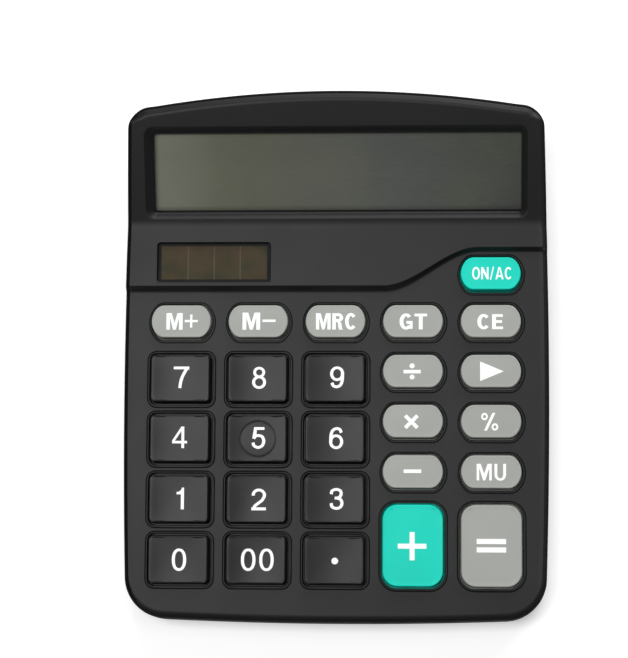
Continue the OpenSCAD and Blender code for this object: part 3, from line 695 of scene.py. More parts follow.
def build_top():
    sh = Shape()
    flank = [(2.6, 0.0), (2.2, -0.010), (1.36, -0.055), (1.22, -0.035), (1.08, 0.08), (0.72, 0.35), (0.36, 0.60), (0.20, 0.75), (0.08, 0.97), (0.02, 1.28), (0.0, 1.7)]
    nose = [(2.8, 0.0), (2.1, 0.0)] + [(1.9 * (1 - math.sin(rad(11.25 * k))), 1.9 * (1 - math.cos(rad(11.25 * k)))) for k in range(9)]
    rear = [(3.6, 0.0), (3.4, 0.0), (3.2, 0.0), (2.8, 0.05), (2.52, 0.14), (2.2, 0.34), (1.8, 0.64), (1.08, 1.06), (0.62, 1.50), (0.27, 2.0), (0.0, 2.75)]
    front = [ease((-y - 60.0) / 10.0) for _, y, _ in full_outline(0.0)]
    blend = [ease((f - 0.25) / 0.6) for f in FACING]
    rings = []
    for k in range(11):
        rings.append(
            sh.ring(
                ring_points(
                    lambda i, k=k: lerp(lerp(flank[k][0], nose[k][0], front[i]), rear[k][0], blend[i]),
                    lambda x, y, i, k=k: top_z(x, y) - lerp(lerp(flank[k][1], nose[k][1], front[i]), rear[k][1], blend[i]),
                )
            )
        )
    rings.append(sh.ring(ring_points(lambda i: 0.0, lambda x, y, i: parting_z(y) + 0.42)))
    rings.append(sh.ring(ring_points(lambda i: 0.10, lambda x, y, i: parting_z(y) + 0.22)))
    rings.append(sh.ring(ring_points(lambda i: 0.34, lambda x, y, i: parting_z(y) + 0.12)))
    rings.append(sh.ring(ring_points(lambda i: 2.0, lambda x, y, i: parting_z(y) + 0.12)))
    rings.append(sh.ring(ring_points(lambda i: 2.0, lambda x, y, i: top_z(x, y) - 4.0 - 1.0 * blend[i])))
    rings.append(sh.ring(ring_points(lambda i: 2.35 + 0.5 * blend[i], lambda x, y, i: top_z(x, y) - 2.9 - 0.4 * blend[i])))
    rings.append(sh.ring(ring_points(lambda i: 3.1 + 1.6 * blend[i], lambda x, y, i: top_z(x, y) - SKIN)))
    for k, (a, b) in enumerate(zip(rings, rings[1:])):
        for i in range(N):
            j = (i + 1) % N
            f, left = FACING[i], BASE[i][0] < 0
            # material 2 (EDGE) is painted shade: near black on the rear edge's outer rings and along the left rim
            if f > 0.3:
                m = 0 if k < (6 if left and f < 0.75 else 7) else 2 if k < 10 else 1
            elif left and 3 <= k < 6 and f > (-0.35, -0.6, -0.85)[k - 3]:
                m = 2
            else:
                m = 0 if k < 5 else 1
            sh.face((a[i], a[j], b[j], b[i]), m)

    outer, inner = ([], [], []), ([], [], [])
    # a fine groove and a rounded lip round every key, then the hole through the plate
    lips = {
        "num": [(1.26, 0.0, 1), (1.15, 0.0, 1), (1.11, -0.04, 1), (1.06, -0.2, 1), (1.0, -0.26, 1), (0.94, -0.2, 1), (0.88, -0.03, 1), (0.82, 0.0, 1),
                (0.55, 0.0, 0.3), (0.46, -0.02, 0.1), (0.38, -0.12, 0), (0.35, -0.30, 0), (0.35, -SKIN * CP, 0)],
        "oval": [(1.22, 0.0, 1), (1.12, 0.0, 1), (1.08, -0.05, 1), (1.03, -0.22, 1), (0.98, -0.28, 1), (0.92, -0.22, 1), (0.86, -0.09, 1), (0.80, -0.07, 1),
                 (0.60, -0.08, 0.4), (0.48, -0.11, 0.1), (0.38, -0.2, 0), (0.35, -0.36, 0), (0.35, -SKIN * CP, 0)],
    }
    for _, kind, kx, kv in KEYS:
        loops = []
        for e, w, t in lips["oval" if kind == "oval" else "num"]:
            ox, ov = (0.16 * t, -0.16 * t) if kind == "oval" else (0.12 * t, -0.10 * t)
            loops.append(sh.ring([on_plate(kx + x + ox, kv + v + ov, w) for x, v in key_loop(kind, e)]))
        sh.tube(loops)
        outer[0].append(loops[0])
        inner[0].append(loops[-1])
    # solar window
    sx, sv = -34.6, (26.75 - PLATE_Y) / CP
    sun = [(32.6, 11.7, 1.1, 1.5), (32.36, 11.46, 0.98, 1.46), (32.12, 11.22, 0.86, 1.33), (32.0, 11.1, 0.8, 1.08),
           (31.8, 10.9, 0.7, 0.34), (35.4, 13.48, 0.5, 0.34), (35.4, 13.48, 0.5, 1.5 - SKIN * CP)]
    loops = [sh.ring([on_plate(x, v, h) for x, v in rect_loop(w, d, r, 5, cx=sx, cy=sv + (0.26 if w > 35 else 0))]) for w, d, r, h in sun]
    sh.tube(loops)
    outer[1].append(loops[0])
    inner[1].append(loops[-1])
    # display window with sloped walls: left, right, front, rear, corner radius, depth
    win = [(-54.1, 54.1, 1.5, 27.9, 2.7, 0.0), (-53.98, 53.98, 1.61, 27.78, 2.6, -0.03), (-53.86, 53.86, 1.72, 27.66, 2.5, -0.12),
           (-53.0, 53.3, 2.20, 26.95, 2.1, -0.66), (-52.93, 53.24, 2.27, 26.9, 2.05, -0.76), (-52.86, 53.2, 2.36, 26.84, 2.0, -0.78),
           (-51.85, 52.6, 2.76, 26.20, 0.95, -1.42), (-51.75, 52.5, 2.81, 26.13, 0.9, -1.52), (-51.6, 52.4, 2.92, 25.80, 0.8, -1.56),
           (-51.42, 52.27, 3.17, 25.65, 0.65, -1.90), (-51.38, 52.25, 3.21, 25.62, 0.62, -2.02), (-51.38, 52.25, 3.21, 25.62, 0.62, -SKIN * CH)]
    loops = []
    for x0, x1, v0, v1, r, w in win:
        pts = rect_loop(x1 - x0, v1 - v0, r, 6, 24, 6, cx=(x0 + x1) / 2, cy=(v0 + v1) / 2)
        loops.append(sh.ring([on_hood(x, v, w) for x, v in pts]))
    sh.tube(loops)
    outer[2].append(loops[0])
    inner[2].append(loops[-1])

    skin(sh, rings[0], 0.0, *outer)
    skin(sh, rings[-1], -SKIN, *inner)
    return piece("top_case", sh, [CASE.m, WALL.m, EDGE.m], "housing", ["top_cover"], sharp=50)


build_top()


# ---------------------------------------------------------------- softer edges on the carried-over nodes
def helper(name, sh):
    """A closed mesh that only a modifier reads. It isn't linked to the scene."""
    me = bpy.data.meshes.new(name)
    me.from_pydata([(x * MM, y * MM, z * MM) for x, y, z in sh.v], [], sh.f)
    bm = bmesh.new()
    bm.from_mesh(me)
    bmesh.ops.remove_doubles(bm, verts=bm.verts, dist=1e-8)
    bmesh.ops.recalc_face_normals(bm, faces=bm.faces)
    bm.to_mesh(me)
    bm.free()
    return bpy.data.objects.new(name, me)


def make_smoothing(angle=32.0):
    """Geometry nodes that shade smooth and keep edges sharper than the angle."""
    g = bpy.data.node_groups.new("smooth_by_angle", "GeometryNodeTree")
    g.interface.new_socket("Geometry", in_out="INPUT", socket_type="NodeSocketGeometry")
    g.interface.new_socket("Geometry", in_out="OUTPUT", socket_type="NodeSocketGeometry")
    a, b = g.nodes.new("NodeGroupInput"), g.nodes.new("NodeGroupOutput")
    drop = g.nodes.new("GeometryNodeRemoveAttribute")
    drop.inputs["Name"].default_value = "custom_normal"
    faces, edges = g.nodes.new("GeometryNodeSetShadeSmooth"), g.nodes.new("GeometryNodeSetShadeSmooth")
    faces.domain, edges.domain = "FACE", "EDGE"
    edges.inputs["Shade Smooth"].default_value = False
    ang = g.nodes.new("GeometryNodeInputMeshEdgeAngle")
    cmp = g.nodes.new("ShaderNodeMath")
    cmp.operation = "GREATER_THAN"
    cmp.inputs[1].default_value = rad(angle)
    g.links.new(ang.outputs["Unsigned Angle"], cmp.inputs[0])
    g.links.new(cmp.outputs[0], edges.inputs["Selection"])
    g.links.new(a.outputs[0], drop.inputs[0])
    g.links.new(drop.outputs[0], faces.inputs["Geometry"])
    g.links.new(faces.outputs[0], edges.inputs["Geometry"])
    g.links.new(edges.outputs[0], b.inputs[0])
    return g


def soften(node, bevel=None, cut=None, keep=None):
    ob = NODES[node]
    w = ob.modifiers.new("weld", "WELD")
    w.merge_threshold = 1e-6
    for mode, other in (("INTERSECT", keep), ("DIFFERENCE", cut)):
        if other:
            m = ob.modifiers.new(mode.lower(), "BOOLEAN")
            m.operation, m.object, m.solver = mode, other, "EXACT"
            ob.modifiers.new(mode.lower() + "_weld", "WELD").merge_threshold = 4e-6
    if bevel:
        m = ob.modifiers.new("bevel", "BEVEL")
        m.width, m.segments = bevel * MM, 3
        m.limit_method, m.angle_limit = "ANGLE", rad(40)
        m.use_clamp_overlap = True
    m = ob.modifiers.new("smooth", "NODES")
    m.node_group = SMOOTH


def rounded_envelope():
    """Just outside the case's walls, but rounded along the lower edge."""
    sh = Shape()
    r = 0.75
    rings = []
    for k in range(9):
        a = rad(11.25 * k)
        d, z = r * (1 - math.sin(a)) - 0.01, FOOT - 0.01 + r * (1 - math.cos(a))
        rings.append(sh.ring(ring_points(lambda i, d=d: d, lambda x, y, i, z=z: z)))
    rings.append(sh.ring(ring_points(lambda i: -0.01, lambda x, y, i: 40.0)))
    sh.tube(rings)
    sh.face(rings[0])
    sh.face(rings[-1])
    return helper("case_envelope", sh)


def chamfer_cutters():
    """Small cones at the screw and foot recesses."""
    sh = Shape()
    for x, y, r in [(-46, -68.8, 2.7), (46, -68.8, 2.7), (-53, 34, 2.7), (53, 34, 2.7), (-35, 68.2, 2.7), (35, 68.2, 2.7),
                    (-48, -56, 5.1), (48, -56, 5.1), (-50, 55, 5.1), (50, 55, 5.1)]:
        rings = []
        for e, z in ((0.40, FOOT - 0.1), (0.30, FOOT), (0.06, FOOT + 0.10), (-0.05, FOOT + 0.32)):
            rings.append(sh.ring([(x + (r + e) * math.cos(2 * math.pi * i / 64), y + (r + e) * math.sin(2 * math.pi * i / 64), z) for i in range(64)]))
        sh.tube(rings)
        sh.face(rings[0])
        sh.face(rings[-1])
    return helper("chamfers", sh)


SMOOTH = make_smoothing()
soften("bottom_cover", keep=rounded_envelope(), cut=chamfer_cutters())
soften("battery_door", bevel=0.18)
soften("rubber_feet", bevel=0.35)
for n in ("case_screws", "battery_cell", "buffer_capacitor", "calculator_chip"):
    soften(n)


# ---------------------------------------------------------------- keys
def surface(kind, name):
    """Height of a key's top face at a point from its middle."""
    if kind == "num":
        dish = {"7": 0.42, "8": 0.47, "9": 0.36, "4": 0.45, "5": 0.49, "6": 0.38, "1": 0.48, "2": 0.55, "3": 0.40,
                "0": 0.48, "00": 0.55, "decimal": 0.40}[name[4:]]

        def f(x, v):
            a, b = min(abs(x) / 7.75, 1), min(abs(v) / 6.1, 1)
            # the disc inside the ring of key 5 is flat from side to side
            disc = max(0.0, 24.8 - (x - 0.35) ** 2 - (v + 0.1) ** 2) / 60 if name == "key_5" else 0.0
            return 2.6 - dish * ((1 - a * a) * (1 - 0.25 * b * b) - disc)
    else:
        hw, hd = (8.4, 4.72) if kind == "oval" else (8.5, 11.5)

        def f(x, v):
            q = (x / hw) ** 2 * 0.5 + (v / hd) ** 2 * 0.5
            return 2.2 - 0.16 * q
    return f


def key_section(kind, w, e=0.0):
    if kind == "num":
        t = min(max((w + 2.5) / 5.1, 0), 1)
        a, b, r = lerp(17.2, 16.55, t), lerp(13.9, 13.1, t), lerp(1.6, 1.15, t)
        return rect_loop(a + 2 * e, b + 2 * e, max(r + e, 0.12))
    if kind == "tall":
        t = min(max((w + 2.1) / 4.3, 0), 1)
        return rect_loop(lerp(17, 16.72, t) + 2 * e, lerp(23, 22.5, t) + 2 * e, lerp(3.8, 4.15, t) + e)
    t = min(max((w + 2.1) / 4.3, 0), 1)
    return oval_loop(e, (lerp(16.8, 16.72, t), lerp(9.45, 9.08, t)), lerp(2.2, 3.1, t))


def build_key(name, kind, kx, kv, mat):
    sh = Shape()
    top = 2.6 if kind == "num" else 2.2
    f = surface(kind, name)
    edge = 0.34 if kind == "num" else 0.32
    put = lambda pts, w: sh.ring([on_plate(kx + x, kv + v, w) for x, v in pts])
    rings = [put(key_section(kind, -3, -1.3), top - 1.5), put(key_section(kind, -3, -1.3), -3.0), put(key_section(kind, -3, -1.2), -3.1)]
    rings += [put(key_section(kind, -3, 0.72), -3.1), put(key_section(kind, -3, 0.8), -3.02), put(key_section(kind, -3, 0.8), -2.18)]
    rings += [put(key_section(kind, -2.1, 0.72), -2.1), put(key_section(kind, -2.1, 0.0), -2.1)]
    rings.append(put(key_section(kind, top - edge), top - edge))
    last = None
    for k in range(1, 6):
        a = rad(18 * k)
        e = -edge * (1 - math.cos(a))
        pts = key_section(kind, top, e)
        if k < 5:
            rings.append(put(pts, top - edge + edge * math.sin(a) - (0 if kind == "num" else 0.0)))
        else:
            last = sh.ring([on_plate(kx + x, kv + v, f(x, v) if kind == "num" else top - 0.02) for x, v in pts])
            rings.append(last)
    sh.tube(rings)
    flat = lambda p: (p[0] - kx, (p[1] - PLATE_Y + (p[2] - PLATE_Z) * TP) * CP - kv)
    lift = lambda x, v: on_plate(kx + x, kv + v, f(x, v))
    step = 0.85
    grid = [((i + 0.5 * (j % 2)) * step, j * step * 0.87) for i in range(-12, 13) for j in range(-16, 17)]
    holes = []
    if name == "key_5":
        circ = lambda r, dz: [on_plate(kx + 0.35 + r * math.cos(rad(5 * i)), kv - 0.1 + r * math.sin(rad(5 * i)),
                                       f(0.35 + r * math.cos(rad(5 * i)), -0.1 + r * math.sin(rad(5 * i))) + dz) for i in range(72)]
        hair = [sh.ring(circ(r, dz)) for r, dz in ((5.60, 0.0), (5.26, 0.0), (5.16, -0.008), (5.05, -0.042), (4.98, -0.05), (4.91, -0.042), (4.80, -0.008), (4.70, 0.0), (4.36, 0.0))]
        for u, w in zip(hair, hair[1:]):
            sh.strip(u, w)
        a, b = hair[0], hair[-1]
        sh.fill(last, [a], flat, lift, [p for p in grid if (p[0] - 0.35) ** 2 + (p[1] + 0.1) ** 2 > 6.0 ** 2])
        sh.fill(b, [], flat, lift, [p for p in grid if (p[0] - 0.35) ** 2 + (p[1] + 0.1) ** 2 < 3.95 ** 2])
    else:
        sh.fill(last, [], flat, lift, grid)
    # inside: ceiling and the post that pushes the dome
    circle = [(2 * math.cos(rad(15 * i)), 2 * math.sin(rad(15 * i))) for i in range(24)]
    p0 = put(circle, top - 1.5)
    p1 = put(circle, -3.05)
    p2 = put([(x * 0.95, y * 0.95) for x, y in circle], -3.15)
    sh.tube([p0, p1, p2])
    sh.face(p2)
    sh.fill(rings[0], [p0], flat, lambda x, v: on_plate(kx + x, kv + v, top - 1.5))
    return piece(name.replace("key_", "cap_"), sh, [mat.m], name, [name], sharp=48)


for name, kind, kx, kv in KEYS:
    if kind == "num":
        build_key(name, kind, kx, kv, KEY_BLACK)
    elif name in ("key_plus", "key_on_ac"):
        build_key(name, kind, kx, kv, KEY_TEAL)
    else:
        build_key(name, kind, kx, kv, KEY_GREY)


# ---------------------------------------------------------------- legends
def arc(cx, cy, rx, ry, a0, a1, n=24):
    return [(cx + rx * math.cos(rad(lerp(a0, a1, i / n))), cy + ry * math.sin(rad(lerp(a0, a1, i / n)))) for i in range(n + 1)]


def loop_of(cx, cy, rx, ry, p=2.0, n=48):
    out = []
    for i in range(n):
        c, s = math.cos(2 * math.pi * i / n), math.sin(2 * math.pi * i / n)
        out.append((cx + rx * math.copysign(abs(c) ** (2 / p), c), cy + ry * math.copysign(abs(s) ** (2 / p), s)))
    return out


def curve(pts, n=8):
    """Catmull-Rom curve through points."""
    q = [(2 * pts[0][0] - pts[1][0], 2 * pts[0][1] - pts[1][1])] + list(pts) + [(2 * pts[-1][0] - pts[-2][0], 2 * pts[-1][1] - pts[-2][1])]
    out = []
    for k in range(1, len(q) - 2):
        for i in range(n):
            t = i / n
            out.append(tuple(0.5 * (2 * q[k][c] + (q[k + 1][c] - q[k - 1][c]) * t
                                    + (2 * q[k - 1][c] - 5 * q[k][c] + 4 * q[k + 1][c] - q[k + 2][c]) * t * t
                                    + (3 * q[k][c] - q[k - 1][c] - 3 * q[k + 1][c] + q[k + 2][c]) * t ** 3) for c in (0, 1)))
    out.append(tuple(pts[-1]))
    return out


def stroke(pts, t, t_flat=None):
    """Outline of a stroke along a path. t is its width where it runs upright, t_flat where it lies level."""
    t_flat = t_flat or t
    left, right = [], []
    n = len(pts)
    for i in range(n):
        a, b = pts[max(i - 1, 0)], pts[min(i + 1, n - 1)]
        dx, dy = b[0] - a[0], b[1] - a[1]
        ln = math.hypot(dx, dy)
        nx, ny = -dy / ln, dx / ln
        h = 0.5 * math.sqrt((t * nx) ** 2 + (t_flat * ny) ** 2)
        left.append((pts[i][0] + nx * h, pts[i][1] + ny * h))
        right.append((pts[i][0] - nx * h, pts[i][1] - ny * h))
    return (right + left[::-1], [])


def bar(x0, y0, x1, y1):
    return ([(x0, y0), (x1, y0), (x1, y1), (x0, y1)], [])


def glyph(ch, v=0.235, g=0.175):
    """(width, regions) of a character with a cap height of 1. A region is (outline, holes)."""
    t, h = 0.146, 0.125
    if ch == "0":
        return 0.69, [(loop_of(0.345, 0.5, 0.345, 0.512, 2.25), [loop_of(0.345, 0.5, 0.199, 0.393, 2.2)])]
    if ch == "1":
        return 0.40, [([(0.385, 1.0), (0.285, 1.0), (0.262, 0.925), (0.215, 0.865), (0.15, 0.818), (0.03, 0.795), (0.03, 0.69),
                        (0.238, 0.69), (0.238, 0.0), (0.385, 0.0)], [])]
    if ch == "2":
        path = arc(0.352, 0.70, 0.268, 0.235, 186, -28, 22)[:-1] + curve([(0.589, 0.59), (0.50, 0.455), (0.33, 0.325), (0.17, 0.20), (0.088, 0.03)])
        return 0.70, [stroke(path, t, h), bar(0.0, 0.0, 0.695, h + 0.008)]
    if ch == "3":
        up = curve([(0.085, 0.715), (0.125, 0.862), (0.325, 0.935), (0.52, 0.865), (0.555, 0.72), (0.485, 0.585), (0.345, 0.537), (0.25, 0.535)])
        dn = curve([(0.25, 0.535), (0.36, 0.533), (0.535, 0.465), (0.595, 0.29), (0.52, 0.125), (0.33, 0.06), (0.135, 0.13), (0.08, 0.30)])
        return 0.68, [stroke(up, t, h), stroke(dn, t, h)]
    if ch == "4":
        return 0.72, [([(0.44, 1.0), (0.575, 1.0), (0.575, 0.334), (0.715, 0.334), (0.715, 0.22), (0.575, 0.22), (0.575, 0.0),
                        (0.44, 0.0), (0.44, 0.22), (0.0, 0.22), (0.0, 0.355)], [[(0.44, 0.334), (0.44, 0.80), (0.125, 0.334)]])]
    if ch == "5":
        bowl = curve([(0.115, 0.475), (0.20, 0.578), (0.34, 0.615), (0.52, 0.555), (0.595, 0.36), (0.53, 0.155), (0.335, 0.06), (0.14, 0.135), (0.08, 0.285)])
        stem = ([(0.135, 1.0), (0.275, 1.0), (0.235, 0.60), (0.19, 0.455), (0.045, 0.475)], [])
        return 0.68, [bar(0.135, 1.0 - h, 0.625, 1.0), stem, stroke(bowl, t, h)]
    if ch in "69":
        ring = (loop_of(0.345, 0.325, 0.335, 0.337, 2.05), [loop_of(0.345, 0.325, 0.191, 0.218, 2.05)])
        tail = curve([(0.592, 0.745), (0.52, 0.885), (0.365, 0.935), (0.19, 0.855), (0.105, 0.66), (0.087, 0.42), (0.10, 0.30)])
        regs = [ring, stroke(tail, t, h)]
        if ch == "9":
            regs = [([(0.685 - x, 1.0 - y) for x, y in o], [[(0.685 - x, 1.0 - y) for x, y in q] for q in hs]) for o, hs in regs]
        return 0.685, regs
    if ch == "7":
        path = curve([(0.64, 0.93), (0.54, 0.76), (0.42, 0.53), (0.34, 0.28), (0.30, 0.0)])
        return 0.745, [([(0.0, 1.0), (0.0, 1.0 - h), (0.60, 1.0 - h), (0.745, 0.86), (0.745, 1.0)], []), stroke(path, t, h)]
    if ch == "8":
        return 0.67, [(loop_of(0.335, 0.752, 0.285, 0.258, 2.05), [loop_of(0.335, 0.752, 0.150, 0.143)]),
                      (loop_of(0.335, 0.292, 0.335, 0.304, 2.05), [loop_of(0.335, 0.292, 0.192, 0.189)])]
    # condensed capitals: v is the width of upright strokes, g of level ones
    if ch == "M":
        k = v - 0.02
        return 0.98, [([(0, 0), (0, 1), (v + 0.08, 1), (0.49, 0.40), (0.90 - v, 1), (0.98, 1), (0.98, 0), (0.98 - k, 0), (0.98 - k, 0.74),
                        (0.49 + 0.36 * v, 0.0), (0.49 - 0.36 * v, 0.0), (k, 0.74), (k, 0)], [])]
    if ch == "R":
        bowl = [(0.1, 1 - g / 2)] + arc(0.40, 0.735, 0.20, 0.265 - g / 2, 90, -90, 16) + [(0.1, 0.47 + g / 2)]
        return 0.74, [bar(0, 0, v, 1), stroke(bowl, v, g), ([(0.27, 0.50), (0.50, 0.50), (0.60, 0.40), (0.63, 0.2), (0.65, 0.06), (0.74, 0.0),
                                                            (0.44, 0.0), (0.40, 0.2), (0.385, 0.38)], [])]
    if ch == "C":
        return 0.76, [stroke(arc(0.385, 0.5, 0.385 - v / 2, 0.512 - g / 2, 40, 320, 36), v, g)]
    if ch == "G":
        return 0.80, [stroke(arc(0.395, 0.5, 0.395 - v / 2, 0.512 - g / 2, 42, 318, 36), v, g), bar(0.42, 0.36, 0.79, 0.36 + g), bar(0.60, 0.04, 0.79, 0.5)]
    if ch == "T":
        return 0.76, [bar(0.0, 1 - g, 0.76, 1), bar(0.38 - v / 2, 0, 0.38 + v / 2, 1 - g / 2)]
    if ch == "E":
        return 0.66, [bar(0, 0, v, 1), bar(0, 1 - g, 0.65, 1), bar(0, 0.5 - g / 2 + 0.01, 0.60, 0.5 + g / 2 + 0.01), bar(0, 0, 0.66, g)]
    if ch == "U":
        path = [(v / 2, 1.0), (v / 2, 0.7)] + arc(0.375, 0.36, 0.375 - v / 2, 0.372 - g / 2, 180, 360, 24) + [(0.75 - v / 2, 0.7), (0.75 - v / 2, 1.0)]
        return 0.75, [stroke(path, v, g)]
    if ch == "O":
        return 0.82, [(loop_of(0.41, 0.5, 0.41, 0.512, 2.2), [loop_of(0.41, 0.5, 0.41 - v, 0.512 - g, 2.1)])]
    if ch == "N":
        return 0.78, [([(0, 0), (0, 1), (v + 0.015, 1), (0.78 - v, 0.40), (0.78 - v, 1), (0.78, 1), (0.78, 0), (0.775 - v, 0), (v, 0.62), (v, 0)], [])]
    if ch == "A":
        top = 0.716 + 2.3 * (0.235 - v)
        x0 = v + 0.01
        at = lambda y: lerp(x0, 0.43, y / top)
        a, b = at(0.19), at(0.19 + g)
        return 0.86, [([(0.0, 0.0), (0.43 - 0.53 * v, 1.0), (0.43 + 0.53 * v, 1.0), (0.86, 0.0), (0.86 - x0, 0.0), (0.86 - a, 0.19), (a, 0.19), (x0, 0.0)],
                       [[(b, 0.19 + g), (0.86 - b, 0.19 + g), (0.43, top)]])]
    if ch == "/":
        return 0.46, [([(0.0, -0.04), (0.72 * v, -0.04), (0.46, 1.04), (0.46 - 0.72 * v, 1.04)], [])]
    raise ValueError(ch)


def word(text, height, gap, width=None, squeeze=1.0, weight=(0.235, 0.175)):
    """Regions of a word in mm, centred on its box. width stretches the letters to a total width."""
    glyphs = [glyph(c, *weight) for c in text]
    raw = sum(g[0] for g in glyphs) * height * squeeze + gap * (len(text) - 1)
    sx = squeeze if width is None else squeeze * (width - gap * (len(text) - 1)) / (raw - gap * (len(text) - 1))
    x = -(sum(g[0] for g in glyphs) * height * sx + gap * (len(text) - 1)) / 2
    out = []
    for w, regs in glyphs:
        for o, hs in regs:
            out.append(([(x + px * height * sx, (py - 0.5) * height) for px, py in o],
                        [[(x + px * height * sx, (py - 0.5) * height) for px, py in q] for q in hs]))
        x += w * height * sx + gap
    return out


def shift(regs, dx, dy):
    return [([(x + dx, y + dy) for x, y in o], [[(x + dx, y + dy) for x, y in q] for q in hs]) for o, hs in regs]


def centred_bar(w, h, cx=0.0, cy=0.0):
    return bar(cx - w / 2, cy - h / 2, cx + w / 2, cy + h / 2)


def turned(reg, a):
    c, s = math.cos(rad(a)), math.sin(rad(a))
    o, hs = reg
    return ([(x * c - y * s, x * s + y * c) for x, y in o], [[(x * c - y * s, x * s + y * c) for x, y in q] for q in hs])


def dot(r, cx=0.0, cy=0.0):
    return (loop_of(cx, cy, r, r, 2.0, 32), [])


LEGENDS = {
    "key_0": word("0", 6.05, 0, squeeze=0.96),
    "key_00": word("00", 6.05, 1.05, squeeze=0.97),
    "key_decimal": [dot(0.92)],
    "key_m_plus": shift(word("M", 4.7, 0), -2.0, 0) + [centred_bar(3.7, 0.62, 2.75, 0.1), centred_bar(0.62, 3.7, 2.75, 0.1)],
    "key_m_minus": shift(word("M", 4.85, 0, squeeze=1.05), -2.0, 0) + [centred_bar(3.7, 0.68, 3.0, 0.1)],
    "key_mrc": word("MRC", 4.6, 0.48, 11.4),
    "key_gt": word("GT", 4.45, 0.5, 7.7),
    "key_ce": word("CE", 4.2, 0.6, 7.15),
    "key_mu": word("MU", 4.6, 0.75, 8.15, weight=(0.185, 0.14)),
    "key_on_ac": word("ON/AC", 3.45, 0.34, 11.15, weight=(0.185, 0.14)),
    "key_divide": [centred_bar(4.8, 0.97), dot(0.70, 0, 1.62), dot(0.68, 0, -1.52)],
    "key_arrow": [([(-3.2, 2.75), (3.35, 0.0), (-3.2, -2.75)], [])],
    "key_multiply": [turned(centred_bar(4.8, 1.02), 45), turned(centred_bar(4.8, 1.02), -45)],
    "key_minus": [centred_bar(4.9, 0.98)],
    "key_percent": [(loop_of(-1.44, 1.44, 0.92, 1.02), [loop_of(-1.44, 1.44, 0.42, 0.48)]), (loop_of(1.44, -1.44, 0.92, 1.02), [loop_of(1.44, -1.44, 0.42, 0.48)]),
                    ([(-1.58, -2.46), (-0.76, -2.46), (1.58, 2.46), (0.76, 2.46)], [])],
    "key_plus": [centred_bar(7.95, 1.36), centred_bar(1.38, 7.8)],
    "key_equals": [centred_bar(8.12, 1.42, 0, 1.16), centred_bar(8.12, 1.42, 0, -1.16)],
}
for d in "123456789":
    LEGENDS["key_" + d] = word(d, 6.05, 0, squeeze=0.97)
NUDGE = {
    "key_7": (0.31, 0.30), "key_8": (0.45, 0.18), "key_9": (0.60, 0.28), "key_4": (0.05, 0.30), "key_5": (0.42, 0.16), "key_6": (0.39, 0.22),
    "key_1": (0.37, 0.09), "key_2": (0.65, -0.10), "key_3": (0.60, 0.15), "key_0": (0.29, -0.06), "key_00": (0.41, 0.05), "key_decimal": (0.19, -0.17),
    "key_m_plus": (0.14, -0.02), "key_m_minus": (0.10, 0.04), "key_mrc": (0.25, -0.05), "key_gt": (0.10, -0.10), "key_ce": (-0.20, -0.16),
    "key_divide": (-0.21, -0.16), "key_arrow": (0.16, -0.05), "key_multiply": (-0.41, -0.14), "key_percent": (-0.41, -0.10),
    "key_minus": (-0.10, 0.12), "key_mu": (0.0, -0.06), "key_on_ac": (0.37, 0.02), "key_plus": (-0.16, -0.14), "key_equals": (-0.05, 0.10),
}


def dense(loop, step=0.7):
    out = []
    for i, a in enumerate(loop):
        b = loop[(i + 1) % len(loop)]
        k = max(1, int(math.ceil(math.hypot(b[0] - a[0], b[1] - a[1]) / step)))
        out += [(lerp(a[0], b[0], j / k), lerp(a[1], b[1], j / k)) for j in range(k)]
    return out


def build_legend(name, kind, kx, kv):
    regs = [(dense(o), [dense(q) for q in hs]) for o, hs in LEGENDS[name]]
    nx, nv = NUDGE.get(name, (0.0, 0.0))
    f = surface(kind, name)
    pts, edges = [], []
    for o, hs in regs:
        for lp in [o] + hs:
            s = len(pts)
            pts += [Vector(p) for p in lp]
            edges += [(s + i, s + (i + 1) % len(lp)) for i in range(len(lp))]

    def covered(x, y):
        return any(inside(x, y, o) and not any(inside(x, y, q) for q in hs) for o, hs in regs)

    xs, ys = [p[0] for p in pts], [p[1] for p in pts]
    step = 0.62
    for i in range(int((max(xs) - min(xs)) / step) + 1):
        for j in range(int((max(ys) - min(ys)) / step) + 1):
            q = (min(xs) + step * (i + 0.37), min(ys) + step * (j + 0.41))
            if covered(*q) and min((q[0] - p[0]) ** 2 + (q[1] - p[1]) ** 2 for p in pts) > 0.05:
                pts.append(Vector(q))
    vs, _, fs, _, _, _ = delaunay_2d_cdt(pts, edges, [], 0, 1e-5, True)
    kept = []
    for t in fs:
        cx, cy = sum(vs[k][0] for k in t) / len(t), sum(vs[k][1] for k in t) / len(t)
        area = abs(sum(vs[t[i]][0] * vs[(t + t)[i + 1]][1] - vs[(t + t)[i + 1]][0] * vs[t[i]][1] for i in range(len(t))))
        if area > 1e-7 and covered(cx, cy):
            kept.append(tuple(t))
    sh = Shape()
    used = sorted({k for t in kept for k in t})
    top = dict(zip(used, sh.ring([on_plate(kx + nx + vs[k][0], kv + nv + vs[k][1], f(vs[k][0] + nx, vs[k][1] + nv) + 0.035) for k in used])))
    low = dict(zip(used, sh.ring([on_plate(kx + nx + vs[k][0], kv + nv + vs[k][1], f(vs[k][0] + nx, vs[k][1] + nv) - 0.06) for k in used])))
    count = {}
    for t in kept:
        for i in range(len(t)):
            a, b = t[i], t[(i + 1) % len(t)]
            count.setdefault((min(a, b), max(a, b)), []).append((a, b))
    for t in kept:
        sh.face([top[k] for k in t])
        sh.face([low[k] for k in reversed(t)])
    for pair in count.values():
        if len(pair) == 1:
            a, b = pair[0]
            sh.face((top[a], top[b], low[b], low[a]))
    return piece(name.replace("key_", "legend_"), sh, [INK.m], name, sharp=30, weighted=False)


for name, kind, kx, kv in KEYS:
    build_legend(name, kind, kx, kv)


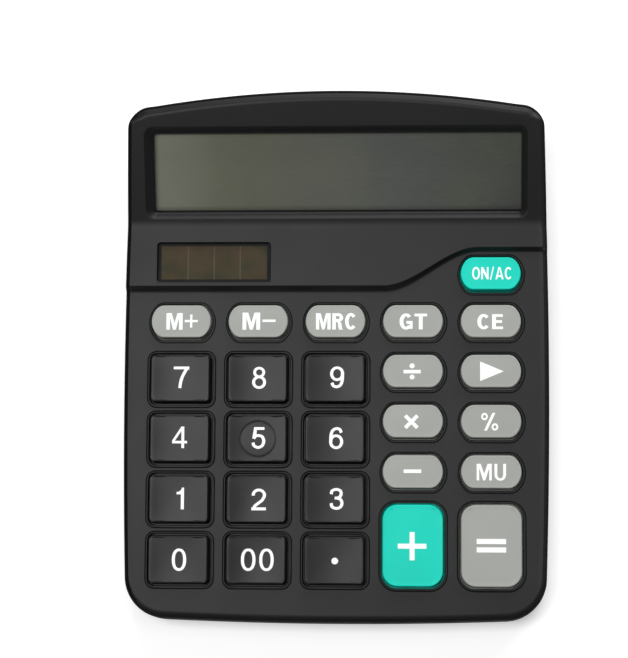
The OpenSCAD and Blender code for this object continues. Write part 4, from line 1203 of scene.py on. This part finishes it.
# ---------------------------------------------------------------- floor, light and camera
def build_stage():
    me = bpy.data.meshes.new("floor")
    me.from_pydata([(-14, -14, 0), (14, -14, 0), (14, 14, 0), (-14, 14, 0)], [], [(0, 1, 2, 3)])
    ob = bpy.data.objects.new("floor", me)
    bpy.context.scene.collection.objects.link(ob)
    m = bpy.data.materials.new("floor_paint")
    m.use_nodes = True
    b = m.node_tree.nodes["Principled BSDF"]
    b.inputs["Base Color"].default_value = (0.74, 0.74, 0.74, 1)
    b.inputs["Emission Color"].default_value = (1, 1, 1, 1)
    b.inputs["Emission Strength"].default_value = 0.41
    b.inputs["Roughness"].default_value = 0.9
    b.inputs["Specular IOR Level"].default_value = 0.0
    me.materials.append(m)


def area(name, loc, target, size, power, color=(1, 1, 1)):
    li = bpy.data.lights.new(name, "AREA")
    li.shape = "RECTANGLE"
    li.size, li.size_y = size
    li.energy = power
    li.color = color
    ob = bpy.data.objects.new(name, li)
    bpy.context.scene.collection.objects.link(ob)
    ob.location = loc
    ob.rotation_euler = (Vector(target) - Vector(loc)).to_track_quat("-Z", "Y").to_euler()
    return ob


build_stage()
area("softbox_left", (-0.37, 0.0, 0.90), (0, 0.02, 0), (0.32, 0.74), 5.0)
area("softbox_above", (0.05, 0.09, 0.95), (0, 0.02, 0), (0.50, 0.74), 2.2)
area("softbox_rear", (0.35, 1.28, 0.75), (0, 0.05, 0), (1.5, 0.6), 23.0)

world = bpy.data.worlds.new("studio")
bpy.context.scene.world = world
world.use_nodes = True
world.node_tree.nodes["Background"].inputs["Color"].default_value = (1, 1, 1, 1)
world.node_tree.nodes["Background"].inputs["Strength"].default_value = 0.13

cam = bpy.data.cameras.new("camera")
cam.sensor_fit = "AUTO"
cam.sensor_width = 36.0
cam.lens = 2165.867 / 658 * 36.0
cam.clip_start, cam.clip_end = 0.01, 20
cam_ob = bpy.data.objects.new("camera", cam)
bpy.context.scene.collection.objects.link(cam_ob)
cam_ob.location = (0.0301448, -0.098225, 0.6173096)
cam_ob.rotation_euler = Euler((rad(10.03153), rad(3.35460), rad(0.56451)), "XYZ")
bpy.context.scene.camera = cam_ob
bpy.context.scene.view_settings.view_transform = "Standard"
bpy.context.scene.view_settings.look = "None"
